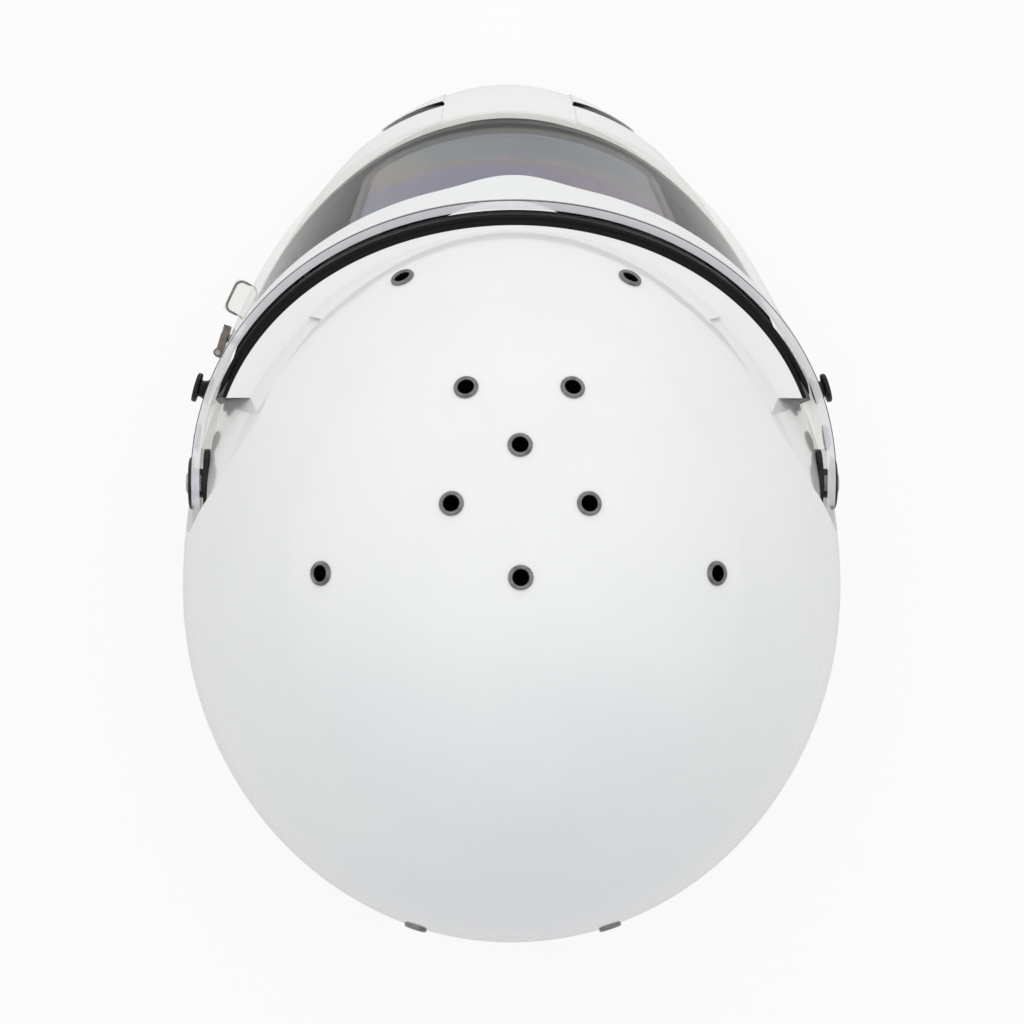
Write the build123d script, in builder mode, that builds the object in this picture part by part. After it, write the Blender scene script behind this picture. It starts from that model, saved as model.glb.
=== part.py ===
from build123d import *
import math
import os

# Full-face auto racing helmet with a clear hinged shield.
# X runs across the helmet, +X on the wearer's left, -Y is the front and +Z is up.
# The origin lies on the symmetry plane, half way along the helmet, on the surface it stands on.

os.makedirs("parts", exist_ok=True)

# Outer form of the shell
half_width = 127.0
widest_z = 110.0
crown_rise = 145.0
lower_reach = 220.0
rear_reach = 137.0
brow_reach = 149.0
chin_reach = 212.0
brow_level = 180.0
shoulder_step = 11.0
shoulder_z = 62.0
shoulder_blend = 9.0
core_z = 40.0
skirt_angle = 124.0
skin_tolerance = 0.05
grid_lines = 61
level_steps = 220

# Walls and general clearances
shell_wall = 3.0
fit_gap = 0.3
overrun = 20.0
edge_lip = 1.5
rim_arch = 9.0
rim_arch_front_y = -105.0
rim_arch_rear_y = 78.0
trim_height = 8.0

# Eyeport and the recess that takes the shield
brow_edge_z = 175.0
temple_edge_z = 166.5
cheek_edge_z = 78.0
chin_edge_z = 70.0
eyeport_rear_ahead = 31.5
eyeport_top_radius = 20.0
eyeport_low_radius = 34.0
recess_depth = 1.5
recess_margin = 1.8
recess_top_z = 185.0
recess_rear_rise = 32.0
recess_rear_ahead = -2.0
recess_crest_ahead = 19.5
recess_front_ahead = 60.0
recess_front_z = 180.0
recess_low_ahead = 78.0
gasket_lip = 3.5
gasket_width = 4.5
gasket_depth = 9.0
gasket_gap = 0.8
lift_step = 8.0
lift_steps = 6

# Shield and its pivots
shield_thickness = 3.0
shield_top_z = 172.0
shield_low_z = 71.2
shield_corner_z = 75.0
shield_corner_ahead = 45.5
brow_stand_off = 9.3
chin_stand_off = 1.0
arm_inset = 6.0
arm_radius = 17.0
pivot_ahead = 40.0
pivot_z = 138.0
pivot_plate_radius = 13.0
pivot_plate_thickness = 1.9
arm_gap = 1.0
pivot_boss_radius = 5.5
ring_radius = 10.0
ring_thickness = 1.6
screw_radius = 2.5
screw_head_radius = 4.0
screw_head_height = 1.2
screw_length = 15.0
nut_radius = 4.5
nut_height = 2.5
bore_gap = 0.1

# Strip, inner lens and fittings on the shield
strip_thickness = 0.3
strip_height = 19.0
seal_thickness = 0.9
seal_width = 3.0
lens_thickness = 1.2
lens_half_top = 64.0
lens_half_low = 57.0
lens_top_z = 155.0
lens_low_z = 82.0
lens_corner = 12.0
glue_gap = 0.05
post_ahead = 35.5
post_z = 124.0
post_length = 6.0
post_flange_radius = 5.65
post_flange = 2.0
post_waist_radius = 3.2
post_foot_radius = 5.2
fitting_root = 0.8
button_ahead = 17.5
button_z = 130.0
button_radius = 5.0
button_height = 1.5
button_tip_radius = 1.0
button_tip_height = 0.6
tab_ahead = 73.0
tab_z = 77.0
tab_length = 14.0
tab_reach = 6.6
tab_thickness = 3.0
tab_round = 1.2

# Shield latch
latch_ahead = 51.5
latch_z = 75.0
latch_pin_radius = 1.0
latch_pin_out = 2.3
latch_lug_low = 1.0
latch_lug_height = 1.5
latch_lug_gap = 4.5
latch_lug_reach = 1.7
latch_length = 11.5
latch_drop = 5.0
latch_thickness = 2.6
latch_under = 0.7
latch_nose = 1.4
latch_clearance = 0.3
serration_pitch = 1.0
serration_depth = 0.4
serration_count = 3
latch_post_radius = 1.7
latch_post_along = 6.8
latch_post_down = 2.6
latch_post_tip = 2.0
latch_slot_gap = 0.7
latch_slot_roof = 0.7
latch_slot_slope = 41.0

# Ventilation, with the eyelets' places across and along as shares of the half width
side_eyelet_shares = ((0.148, -0.311), (0.189, 0.011), (0.551, 0.205), (0.327, -0.638))
middle_eyelet_shares = (-0.150, 0.213)
rear_eyelet_x = 37.0
rear_eyelet_z = 135.0
eyelet_flange_radius = 4.45
eyelet_hole_radius = 2.7
eyelet_barrel_radius = 3.3
eyelet_height = 1.2
eyelet_edge = 0.5
vent_channel_radius = 5.0
panel_depth = 0.7
panel_half_top = 29.0
panel_half_low = 23.0
panel_low_z = 12.0
slot_inner_x = 27.0
slot_tip_x = 61.0
slot_inner_y = -160.5
slot_mid_x = 45.0
slot_mid_y = -153.6
slot_tip_y = -142.6
slot_width = 2.4
slot_tip_width = 0.8
slot_floor_z = 40.0
mesh_margin = 2.2
duct_margin = 3.2

# Liner and padding
liner_thickness = 37.0
liner_base_z = 18.0
liner_front_y = -95.0
chin_liner_thickness = 25.0
chin_liner_top_z = 65.0
pad_bay_x = 84.0
pad_bay_top_z = 96.0
pad_bay_rear_y = 6.0
crown_pad_thickness = 8.0
crown_pad_half_width = 66.0
crown_pad_half_length = 82.0
crown_pad_channel = 5.0
crown_channel_x = 24.0
crown_channel_depth = 3.5
cheek_pad_thickness = 24.0
cheek_pad_front_y = -88.0
cheek_pad_rear_y = -2.0
cheek_pad_low_z = 24.0
cheek_pad_top_z = 90.0
cheek_pad_nose = 26.0
cheek_pad_round = 12.0
cheek_pad_crown = 8.0
cheek_pad_draw = 3.0
cheek_channel_radius = 2.2
stud_radius = 5.0
stud_depth = 5.0
neck_roll_outer_share = 0.936
neck_roll_width = 15.0
neck_roll_top_z = 42.0

# Chin strap and anchors
strap_rivet_y = 5.0
strap_rivet_z = 52.0
strap_rivet_radius = 2.5
rivet_head_radius = 6.0
rivet_head_height = 1.4
rivet_spacer_radius = 4.5
strap_width = 25.0
strap_thickness = 1.8
strap_hang_x = 113.0
strap_end_rise = 12.0
strap_drop_z = 44.0
strap_foot_x = 101.0
strap_foot_z = 13.0
strap_turn_x = 90.0
strap_low_z = 5.0
strap_bay_x = 97.0
strap_bay_half = 30.0
strap_bay_top_z = 68.0
ring_plate = 3.0
ring_bar_width = 4.0
ring_corner = 7.0
ring_bar_x = 30.0
ring_bow_x = 12.0
ring_half_length = 17.0
anchor_y = 62.0
anchor_z = 70.0
anchor_thread_radius = 2.5
anchor_hole_radius = 3.3
anchor_flange_radius = 9.0
anchor_flange = 2.0
anchor_barrel_radius = 4.5
anchor_length = 9.0


def ease(share):
    """Smooth step of a share, kept between zero and one."""
    share = min(max(share, 0), 1)
    return share * share * (3 - 2 * share)


def front_reach(z):
    """Front semi-length of the form, which grows from the brow down to the chin."""
    growth = ease((brow_level - z) / brow_level)
    step = (1 - math.tanh((z - shoulder_z) / shoulder_blend)) / 2
    return brow_reach + (chin_reach - brow_reach) * growth + shoulder_step * step


def side_share(z):
    """Share of the full plan size that the form keeps at a height."""
    height = crown_rise if z > widest_z else lower_reach
    return math.sqrt(max(1 - ((z - widest_z) / height) ** 2, 0))


front_extent = max(
    front_reach(widest_z * step / level_steps) * side_share(widest_z * step / level_steps)
    for step in range(level_steps)
)
mid_y = (front_extent - rear_reach) / 2
mean_reach = (brow_reach + rear_reach + chin_reach) / 3


def front_y(z):
    """Front of the form on the symmetry plane."""
    return mid_y - front_reach(z) * side_share(z)


def level(x, y, z):
    """Negative inside the form, zero on its surface."""
    length = front_reach(z) if y < mid_y else rear_reach
    height = crown_rise if z > widest_z else lower_reach
    return (x / half_width) ** 2 + ((y - mid_y) / length) ** 2 + ((z - widest_z) / height) ** 2 - 1


def reach_surface(start, direction):
    """Point where a ray from inside the form leaves it."""
    near = 0
    far = crown_rise + lower_reach
    for _ in range(30):
        middle = (near + far) / 2
        if level(*(a + b * middle for a, b in zip(start, direction))) < 0:
            near = middle
        else:
            far = middle
    return Vector(*(a + b * near for a, b in zip(start, direction)))


def form_seat(start, direction):
    """Plane on the form where a ray leaves it, its Z along the outward normal."""
    point = reach_surface(start, direction)
    probe = shell_wall / level_steps
    slope = [
        level(*(point + axis * probe)) - level(*(point - axis * probe))
        for axis in (Vector(1, 0, 0), Vector(0, 1, 0), Vector(0, 0, 1))
    ]
    return Plane(origin=point, z_dir=Vector(*slope))


def form_face():
    """Skin of the form as one smooth face, without a pole at the crown."""
    core = (0, mid_y, core_z)
    turns = [
        math.tan(math.radians(skirt_angle * (2 * line / (grid_lines - 1) - 1) / 2))
        for line in range(grid_lines)
    ]
    rows = []
    for v in turns:
        row = []
        for u in turns:
            radius = math.hypot(u, v)
            tilt = 2 * math.atan(radius)
            spread = math.sin(tilt) / radius if radius > 0 else 0
            row.append(reach_surface(core, (spread * u, spread * v, math.cos(tilt))))
        rows.append(row)
    return Face.make_surface_from_array_of_points(rows, tol=skin_tolerance, min_deg=3)


# The form itself is made once, and each deeper or prouder skin is the same body drawn in about its core
with BuildPart() as form_core:
    with Locations((0, 0, -overrun)):
        Box(
            2 * (half_width + overrun),
            2 * (front_extent + overrun),
            widest_z + crown_rise + 2 * overrun,
            align=(Align.CENTER, Align.CENTER, Align.MIN),
        )
    split(bisect_by=form_face(), keep=Keep.TOP)
form_bodies = {0: form_core.part}


def form(inset):
    """Solid form with its skin drawn in by an inset."""
    if inset not in form_bodies:
        shares = tuple((size - inset) / size for size in (half_width, mean_reach, crown_rise))
        with BuildPart() as body:
            scale(form_core.part, by=shares, about=(0, mid_y, widest_z))
        form_bodies[inset] = body.part
    return form_bodies[inset]


# Places that follow from the form
pivot_y = mid_y - pivot_ahead
brow_y = front_y(brow_edge_z)
far_front_y = -(front_extent + overrun)
arm_outer_x = half_width - arm_inset
arm_inner_x = arm_outer_x - shield_thickness
recess_inset = shield_thickness + arm_gap + pivot_plate_thickness
reach_high = pivot_y - front_y(shield_top_z) + brow_stand_off
reach_low = pivot_y - front_y(shield_low_z) + chin_stand_off


anchor_seat_x = reach_surface((0, anchor_y, anchor_z), (1, 0, 0)).X - shell_wall
rivet_seat_x = reach_surface((0, strap_rivet_y, strap_rivet_z), (1, 0, 0)).X
screw_tip_x = arm_outer_x + fit_gap + ring_thickness - screw_length


def shield_reach(z):
    """Front semi-length of the shield's outer face from the pivot axis."""
    share = (z - shield_low_z) / (shield_top_z - shield_low_z)
    return reach_low + (reach_high - reach_low) * share


def shield_block(inset):
    """Solid bounded by the shield's face set in: an elliptical front with flat sides."""
    with BuildPart() as block:
        for z in (shield_low_z - overrun, shield_top_z + overrun):
            with BuildSketch(Plane.XY.offset(z)):
                with BuildLine():
                    bow = EllipticalCenterArc(
                        (0, pivot_y), arm_outer_x - inset, shield_reach(z) - inset,
                        start_angle=180, arc_size=180,
                    )
                    Polyline(
                        bow @ 1,
                        (arm_outer_x - inset, pivot_y + 2 * arm_radius),
                        (inset - arm_outer_x, pivot_y + 2 * arm_radius),
                        bow @ 0,
                    )
                make_face()
        loft(ruled=True)
    return block.part


def side_plate(sketch):
    """Side-view outline carried through the whole width."""
    with BuildPart() as plate:
        extrude(sketch, amount=half_width + overrun, both=True)
    return plate.part


def shield_outline():
    """Side-view outline of the shield, with an arm that ends round about its pivot."""
    with BuildSketch(Plane.YZ) as outline:
        with Locations((pivot_y, pivot_z)):
            Circle(arm_radius)
        with BuildLine():
            Polyline(
                (far_front_y, shield_top_z),
                (far_front_y, shield_low_z),
                (pivot_y - reach_low, shield_low_z),
                (pivot_y - shield_corner_ahead, shield_corner_z),
                (pivot_y - reach_high, shield_top_z),
                close=True,
            )
        make_hull()
    return outline.sketch


def shield_layer(outer, inner, outline):
    """Layer of the shield's curved wall between two depths, cut to an outline."""
    with BuildPart() as layer:
        add(shield_block(outer))
        add(shield_block(inner), mode=Mode.SUBTRACT)
        add(side_plate(outline), mode=Mode.INTERSECT)
    return layer.part


def eyeport(margin):
    """Side-view outline of the eyeport, grown by a margin."""
    rear_y = pivot_y - eyeport_rear_ahead
    with BuildSketch(Plane.YZ) as outline:
        with BuildLine():
            Polyline(
                (far_front_y, brow_edge_z),
                (brow_y, brow_edge_z),
                (rear_y, temple_edge_z),
                (rear_y, cheek_edge_z),
                (brow_y, chin_edge_z),
                (far_front_y, chin_edge_z),
                close=True,
            )
        make_face()
        rear = outline.vertices().group_by(Axis.Y)[-1].sort_by(Axis.Z)
        fillet(rear[0], eyeport_low_radius)
        fillet(outline.vertices().group_by(Axis.Y)[-1].sort_by(Axis.Z)[-1], eyeport_top_radius)
        if margin:
            offset(amount=margin)
    return outline.sketch


def recess(margin):
    """Side-view outline of the recess that the shield lies and turns in."""
    with BuildSketch(Plane.YZ) as outline:
        with Locations((pivot_y, pivot_z)):
            Circle(arm_radius + recess_margin + margin)
        with BuildLine():
            Polyline(
                (pivot_y - recess_low_ahead, cheek_edge_z - recess_margin - margin),
                (pivot_y - shield_corner_ahead, shield_corner_z - recess_margin - margin),
                (pivot_y - recess_rear_ahead + margin, pivot_z + recess_rear_rise + margin),
                (pivot_y - recess_crest_ahead, recess_top_z + margin),
                (pivot_y - recess_front_ahead - margin, recess_front_z + margin),
                close=True,
            )
        make_hull()
    return outline.sketch


skins = {}


def skin(inset):
    """Form with its skin set in, and with the shield's recess sunk into it."""
    if inset in skins:
        return skins[inset]
    with BuildPart() as floor_body:
        add(form(inset + recess_depth))
        add(shield_block(inset + recess_inset), mode=Mode.INTERSECT)
    with BuildPart() as sunk:
        add(side_plate(recess(inset)))
        add(floor_body.part, mode=Mode.SUBTRACT)
    with BuildPart() as body:
        add(form(inset))
        add(sunk.part, mode=Mode.SUBTRACT)
    skins[inset] = body.part
    return body.part


def below_rim(rise):
    """Everything under the rim line, which arches up along the sides."""
    with BuildSketch(Plane.YZ) as outline:
        with BuildLine():
            Polyline(
                (rim_arch_front_y, rise),
                (far_front_y, rise),
                (far_front_y, -overrun),
                (-far_front_y, -overrun),
                (-far_front_y, rise),
                (rim_arch_rear_y, rise),
            )
            ThreePointArc(
                (rim_arch_rear_y, rise),
                ((rim_arch_front_y + rim_arch_rear_y) / 2, rise + rim_arch),
                (rim_arch_front_y, rise),
            )
        make_face()
    return side_plate(outline.sketch)


def save(body, name):
    """Label a finished piece and write it to its file."""
    body.part.label = name
    export_step(body.part, f"parts/{name}.step")


def save_pair(body, name):
    """Write a left piece and its mirror image on the right."""
    save(body, f"left_{name}")
    with BuildPart() as other:
        mirror(body.part, about=Plane.YZ)
    save(other, f"right_{name}")


# Seats of the vent eyelets, square to the shell's face
crown_places = [(0, along_share * half_width) for along_share in middle_eyelet_shares]
for across_share, along_share in side_eyelet_shares:
    for side in (1, -1):
        crown_places.append((side * across_share * half_width, along_share * half_width))
top_seats = [form_seat((x, y, widest_z), (0, 0, 1)) for x, y in crown_places]
rear_seats = [
    form_seat((side * rear_eyelet_x, mid_y, rear_eyelet_z), (0, 1, 0)) for side in (1, -1)
]
vent_seats = top_seats + rear_seats


# Chin vent slots, seen from above
def slot_outline(margin):
    """Curved slot that is round at its inner end and narrows towards its outer end."""
    with BuildSketch() as outline:
        with BuildLine():
            half = slot_width / 2
            tip = slot_tip_width / 2
            outer = ThreePointArc(
                (slot_tip_x, slot_tip_y - tip),
                (slot_mid_x, slot_mid_y - half),
                (slot_inner_x, slot_inner_y - half),
            )
            inner = ThreePointArc(
                (slot_inner_x, slot_inner_y + half),
                (slot_mid_x, slot_mid_y + half),
                (slot_tip_x, slot_tip_y + tip),
            )
            ThreePointArc(outer @ 1, (slot_inner_x - half, slot_inner_y), inner @ 0)
            Line(inner @ 1, outer @ 0)
        make_face()
        if margin:
            offset(amount=margin)
    return outline.sketch


def slot_cutter(margin, low_z):
    """Both chin slots as upright bars."""
    with BuildPart() as cutter:
        with BuildSketch(Plane.XY.offset(low_z)):
            add(slot_outline(margin))
            mirror(about=Plane.YZ)
        extrude(amount=chin_edge_z - low_z)
    return cutter.part


# Outer shell
with BuildPart() as chin_panel:
    with BuildSketch(Plane.XZ.offset(-front_y(chin_edge_z) / 2)):
        with BuildLine():
            Polyline(
                (-panel_half_low, panel_low_z),
                (panel_half_low, panel_low_z),
                (panel_half_top, chin_edge_z + overrun),
                (-panel_half_top, chin_edge_z + overrun),
                close=True,
            )
        make_face()
    extrude(amount=front_extent)
    add(form(panel_depth), mode=Mode.SUBTRACT)

with BuildPart() as shell_drills:
    for seat in vent_seats:
        with Locations(seat):
            Cylinder(eyelet_barrel_radius + bore_gap, 4 * shell_wall)
    for side in (1, -1):
        for y, z, radius in (
            (pivot_y, pivot_z, screw_radius + bore_gap),
            (strap_rivet_y, strap_rivet_z, strap_rivet_radius + bore_gap),
            (anchor_y, anchor_z, anchor_hole_radius),
        ):
            with Locations((side * (half_width - shell_wall), y, z)):
                Cylinder(radius, 2 * overrun, rotation=(0, 90, 0))

with BuildPart() as outer_shell:
    add(skin(0))
    add(skin(shell_wall), mode=Mode.SUBTRACT)
    add(below_rim(edge_lip), mode=Mode.SUBTRACT)
    add(side_plate(eyeport(0)), mode=Mode.SUBTRACT)
    add(chin_panel.part, mode=Mode.SUBTRACT)
    add(slot_cutter(0, slot_floor_z), mode=Mode.SUBTRACT)
    add(shell_drills.part, mode=Mode.SUBTRACT)
save(outer_shell, "outer_shell")

# Black bead around the eyeport, with a lip behind the shell's edge
with BuildPart() as gasket_lip_ring:
    add(side_plate(eyeport(gasket_lip)))
    add(side_plate(eyeport(0)), mode=Mode.SUBTRACT)
    add(skin(shell_wall), mode=Mode.INTERSECT)
with BuildPart() as risen_path:
    add(
        shield_layer(-overrun, shield_thickness + gasket_gap, shield_outline())
        .moved(Location((0, -pivot_y, -pivot_z)))
    )
with BuildPart() as eyeport_gasket:
    add(side_plate(eyeport(0)))
    add(side_plate(eyeport(-gasket_width)), mode=Mode.SUBTRACT)
    add(shield_block(shield_thickness + gasket_gap), mode=Mode.INTERSECT)
    add(gasket_lip_ring.part)
    add(form(gasket_depth), mode=Mode.SUBTRACT)
    for step in range(lift_steps):
        with Locations(Location((0, pivot_y, pivot_z), (-(step + 1) * lift_step, 0, 0))):
            add(risen_path.part, mode=Mode.SUBTRACT)
save(eyeport_gasket, "eyeport_gasket")

# Rubber trim that clips over the lower rim: a sole and two lips
with BuildPart() as edge_trim:
    for outer, inner, low, high in (
        (-edge_lip, shell_wall + edge_lip, 0, edge_lip),
        (-edge_lip, 0, 0, trim_height),
        (shell_wall, shell_wall + edge_lip, 0, trim_height),
    ):
        with BuildPart(mode=Mode.PRIVATE) as band:
            add(form(outer))
            add(form(inner), mode=Mode.SUBTRACT)
            add(below_rim(high), mode=Mode.INTERSECT)
            add(below_rim(low), mode=Mode.SUBTRACT)
        add(band.part)
save(edge_trim, "edge_trim")


# Liner and padding
def pad_bay():
    """Room between the two flat cheek faces of the liner."""
    with BuildPart() as bay:
        with BuildSketch(Plane.YZ):
            with BuildLine():
                Polyline(
                    (liner_front_y, -overrun),
                    (pad_bay_rear_y, -overrun),
                    (pad_bay_rear_y, pad_bay_top_z),
                    (liner_front_y, pad_bay_top_z),
                    close=True,
                )
            make_face()
        extrude(amount=pad_bay_x, both=True)
    return bay.part


def strap_bay():
    """Slots in the liner, behind the shell, where the strap hangs and swings."""
    with BuildPart() as bay:
        for side in (1, -1):
            with Locations((side * strap_bay_x, strap_rivet_y, -overrun)):
                Box(
                    half_width, 2 * strap_bay_half, strap_bay_top_z + overrun,
                    align=(Align.MIN if side > 0 else Align.MAX, Align.CENTER, Align.MIN),
                )
    return bay.part


with BuildPart() as liner_front:
    with BuildSketch(Plane.YZ):
        with BuildLine():
            Polyline(
                (far_front_y, -overrun),
                (liner_front_y, -overrun),
                (liner_front_y, chin_edge_z + overrun),
                (far_front_y, chin_edge_z + overrun),
                close=True,
            )
        make_face()
    extrude(amount=half_width + overrun, both=True)

stud_places = [
    (cheek_pad_front_y + cheek_pad_nose, cheek_pad_low_z + cheek_pad_nose),
    (cheek_pad_rear_y - cheek_pad_nose, cheek_pad_low_z + cheek_pad_nose),
    (cheek_pad_rear_y - cheek_pad_nose, cheek_pad_top_z - cheek_pad_nose),
]
with BuildPart() as liner_drills:
    for seat in vent_seats:
        with Locations(seat):
            Cylinder(vent_channel_radius, 3 * liner_thickness)
    for y, z in stud_places:
        with Locations((0, y, z)):
            Cylinder(stud_radius + bore_gap, 2 * (pad_bay_x + stud_depth), rotation=(0, 90, 0))

with BuildPart() as eps_liner:
    add(skin(shell_wall + fit_gap))
    add(form(liner_thickness + shell_wall), mode=Mode.SUBTRACT)
    with Locations((0, 0, liner_base_z)):
        Box(
            2 * (half_width + overrun), 2 * (front_extent + overrun), liner_base_z + overrun,
            align=(Align.CENTER, Align.CENTER, Align.MAX), mode=Mode.SUBTRACT,
        )
    add(side_plate(eyeport(gasket_lip + fit_gap)), mode=Mode.SUBTRACT)
    add(liner_front.part, mode=Mode.SUBTRACT)
    add(pad_bay(), mode=Mode.SUBTRACT)
    add(strap_bay(), mode=Mode.SUBTRACT)
    add(liner_drills.part, mode=Mode.SUBTRACT)
    for y, z, deep_x, half in (
        (anchor_y, anchor_z, anchor_seat_x - anchor_length - anchor_flange, anchor_flange_radius),
        (pivot_y, pivot_z, screw_tip_x, nut_radius),
    ):
        for side in (1, -1):
            with Locations((side * (deep_x - fit_gap), y, z)):
                Box(
                    half_width, 2 * (half + fit_gap), 2 * (half + fit_gap),
                    align=(Align.MIN if side > 0 else Align.MAX, Align.CENTER, Align.CENTER),
                    mode=Mode.SUBTRACT,
                )
save(eps_liner, "eps_liner")

with BuildPart() as chin_liner:
    add(form(shell_wall + fit_gap))
    add(form(shell_wall + chin_liner_thickness), mode=Mode.SUBTRACT)
    with BuildPart(mode=Mode.PRIVATE) as chin_zone:
        with BuildSketch(Plane.YZ):
            with BuildLine():
                Polyline(
                    (far_front_y, liner_base_z),
                    (liner_front_y - fit_gap, liner_base_z),
                    (liner_front_y - fit_gap, chin_liner_top_z),
                    (far_front_y, chin_liner_top_z),
                    close=True,
                )
            make_face()
        extrude(amount=half_width + overrun, both=True)
    add(chin_zone.part, mode=Mode.INTERSECT)
    add(slot_cutter(duct_margin, slot_floor_z - duct_margin), mode=Mode.SUBTRACT)
save(chin_liner, "chin_liner")

with BuildPart() as mesh_pair:
    add(slot_cutter(mesh_margin, slot_floor_z))
    add(form(shell_wall + fit_gap), mode=Mode.INTERSECT)
    add(form(shell_wall + edge_lip), mode=Mode.SUBTRACT)
with BuildPart() as chin_vent_mesh:
    add(mesh_pair.part)
    split(bisect_by=Plane.YZ, keep=Keep.TOP)
save_pair(chin_vent_mesh, "chin_vent_mesh")

inner_inset = shell_wall + liner_thickness + fit_gap
with BuildPart() as crown_pad:
    with BuildSketch(Plane.XY.offset(brow_level)):
        with Locations((0, mid_y)):
            Ellipse(crown_pad_half_width, crown_pad_half_length)
    extrude(amount=crown_rise)
    add(form(inner_inset), mode=Mode.INTERSECT)
    add(form(inner_inset + crown_pad_thickness), mode=Mode.SUBTRACT)
    with BuildPart(mode=Mode.PRIVATE) as channels:
        for x in (-crown_channel_x, crown_channel_x):
            with Locations((x, mid_y, widest_z)):
                Box(crown_pad_channel, 2 * crown_pad_half_length, 2 * crown_rise)
        add(form(inner_inset + crown_pad_thickness - crown_channel_depth), mode=Mode.INTERSECT)
    add(channels.part, mode=Mode.SUBTRACT)
save(crown_pad, "crown_pad")

with BuildPart() as left_cheek_pad:
    with BuildSketch(Plane.YZ.offset(pad_bay_x - fit_gap)) as cheek_outline:
        with BuildLine():
            Polyline(
                (cheek_pad_front_y, cheek_pad_low_z + cheek_pad_nose),
                (cheek_pad_front_y, cheek_pad_low_z),
                (cheek_pad_rear_y, cheek_pad_low_z),
                (cheek_pad_rear_y, cheek_pad_top_z),
                (cheek_pad_front_y + cheek_pad_nose, cheek_pad_top_z - cheek_pad_nose / 2),
                close=True,
            )
        make_face()
        fillet(cheek_outline.vertices(), cheek_pad_round)
    extrude(amount=-cheek_pad_thickness)
    flat_sides = left_cheek_pad.faces().sort_by(Axis.X)
    fillet(flat_sides[0].edges(), cheek_pad_crown)
    fillet(left_cheek_pad.faces().sort_by(Axis.X)[-1].edges(), cheek_pad_draw)
    middle_y = (cheek_pad_front_y + cheek_pad_rear_y) / 2
    with Locations((pad_bay_x - fit_gap - cheek_pad_thickness, middle_y, cheek_pad_low_z)):
        Cylinder(cheek_channel_radius, 2 * cheek_pad_top_z, mode=Mode.SUBTRACT)
save_pair(left_cheek_pad, "cheek_pad")

roll_share = side_share(liner_base_z) * neck_roll_outer_share
roll_half_width = (half_width - inner_inset) * roll_share
roll_half_length = (rear_reach - inner_inset) * roll_share
with BuildPart() as roll_ring:
    with BuildSketch(Plane.XZ):
        with Locations((roll_half_width - neck_roll_width / 2, (liner_base_z + neck_roll_top_z) / 2)):
            Ellipse(neck_roll_width / 2, (neck_roll_top_z - liner_base_z) / 2)
    revolve(axis=Axis.Z, revolution_arc=180)
    scale(by=(1, roll_half_length / roll_half_width, 1))
with BuildPart() as neck_roll:
    with Locations((0, mid_y, 0)):
        add(roll_ring.part)
save(neck_roll, "neck_roll")

with BuildPart() as cheek_pad_studs:
    for y, z in stud_places:
        for side in (1, -1):
            with Locations((side * (pad_bay_x - fit_gap), y, z)):
                Cylinder(
                    stud_radius, stud_depth, rotation=(0, side * 90, 0),
                    align=(Align.CENTER, Align.CENTER, Align.MIN),
                )
save(cheek_pad_studs, "cheek_pad_studs")

# Vent eyelets with rolled rims
with BuildPart() as eyelet:
    with BuildSketch(Plane.XZ):
        with BuildLine():
            Polyline(
                (eyelet_hole_radius, -shell_wall - eyelet_edge),
                (eyelet_barrel_radius, -shell_wall - eyelet_edge),
                (eyelet_barrel_radius, 0),
                (eyelet_flange_radius, 0),
                (eyelet_flange_radius, eyelet_edge),
                (eyelet_flange_radius - eyelet_edge, eyelet_height),
                (eyelet_hole_radius + eyelet_edge, eyelet_height),
                (eyelet_hole_radius, eyelet_edge),
                close=True,
            )
        make_face()
    revolve(axis=Axis.Z)

for seats, name in ((top_seats, "top_vent_eyelets"), (rear_seats, "rear_vent_eyelets")):
    with BuildPart() as eyelets:
        for seat in seats:
            with Locations(seat):
                add(eyelet.part)
    save(eyelets, name)


# Pivots: a plate on the shell carries the boss that the shield's arm turns on
def disc(radius, from_x, to_x, y=pivot_y, z=pivot_z):
    """Round bar along X between two places."""
    with Locations((from_x, y, z)):
        return Cylinder(
            radius, to_x - from_x, rotation=(0, 90, 0),
            align=(Align.CENTER, Align.CENTER, Align.MIN),
        )


plate_x = arm_inner_x - arm_gap - pivot_plate_thickness
boss_x = arm_outer_x + fit_gap
ring_x = boss_x + ring_thickness
with BuildPart() as pivot_plate:
    disc(pivot_plate_radius, plate_x, plate_x + pivot_plate_thickness)
    disc(pivot_boss_radius, plate_x, boss_x)
    with Locations((plate_x, pivot_y, pivot_z)):
        Cylinder(screw_radius + bore_gap, half_width, rotation=(0, 90, 0), mode=Mode.SUBTRACT)
save_pair(pivot_plate, "pivot_plate")

with BuildPart() as pivot_ring:
    disc(ring_radius, boss_x, ring_x)
    chamfer(pivot_ring.faces().sort_by(Axis.X)[-1].edges(), ring_thickness / 3)
    with Locations((boss_x, pivot_y, pivot_z)):
        Cylinder(screw_radius + bore_gap, half_width, rotation=(0, 90, 0), mode=Mode.SUBTRACT)
save_pair(pivot_ring, "pivot_ring")

with BuildPart() as pivot_screw:
    disc(screw_head_radius, ring_x, ring_x + screw_head_height)
    disc(screw_radius, screw_tip_x, ring_x)
    with BuildSketch(Plane.YZ.offset(ring_x + screw_head_height)):
        with Locations((pivot_y, pivot_z)):
            RegularPolygon(screw_radius / 2, 6)
    extrude(amount=-screw_head_height, mode=Mode.SUBTRACT)
save_pair(pivot_screw, "pivot_screw")

with BuildPart() as pivot_nut:
    with BuildSketch(Plane.YZ.offset(plate_x - shell_wall - fit_gap)):
        with Locations((pivot_y, pivot_z)):
            RegularPolygon(nut_radius, 6)
            Circle(screw_radius + bore_gap, mode=Mode.SUBTRACT)
    extrude(amount=-nut_height)
save_pair(pivot_nut, "pivot_nut")


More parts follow.
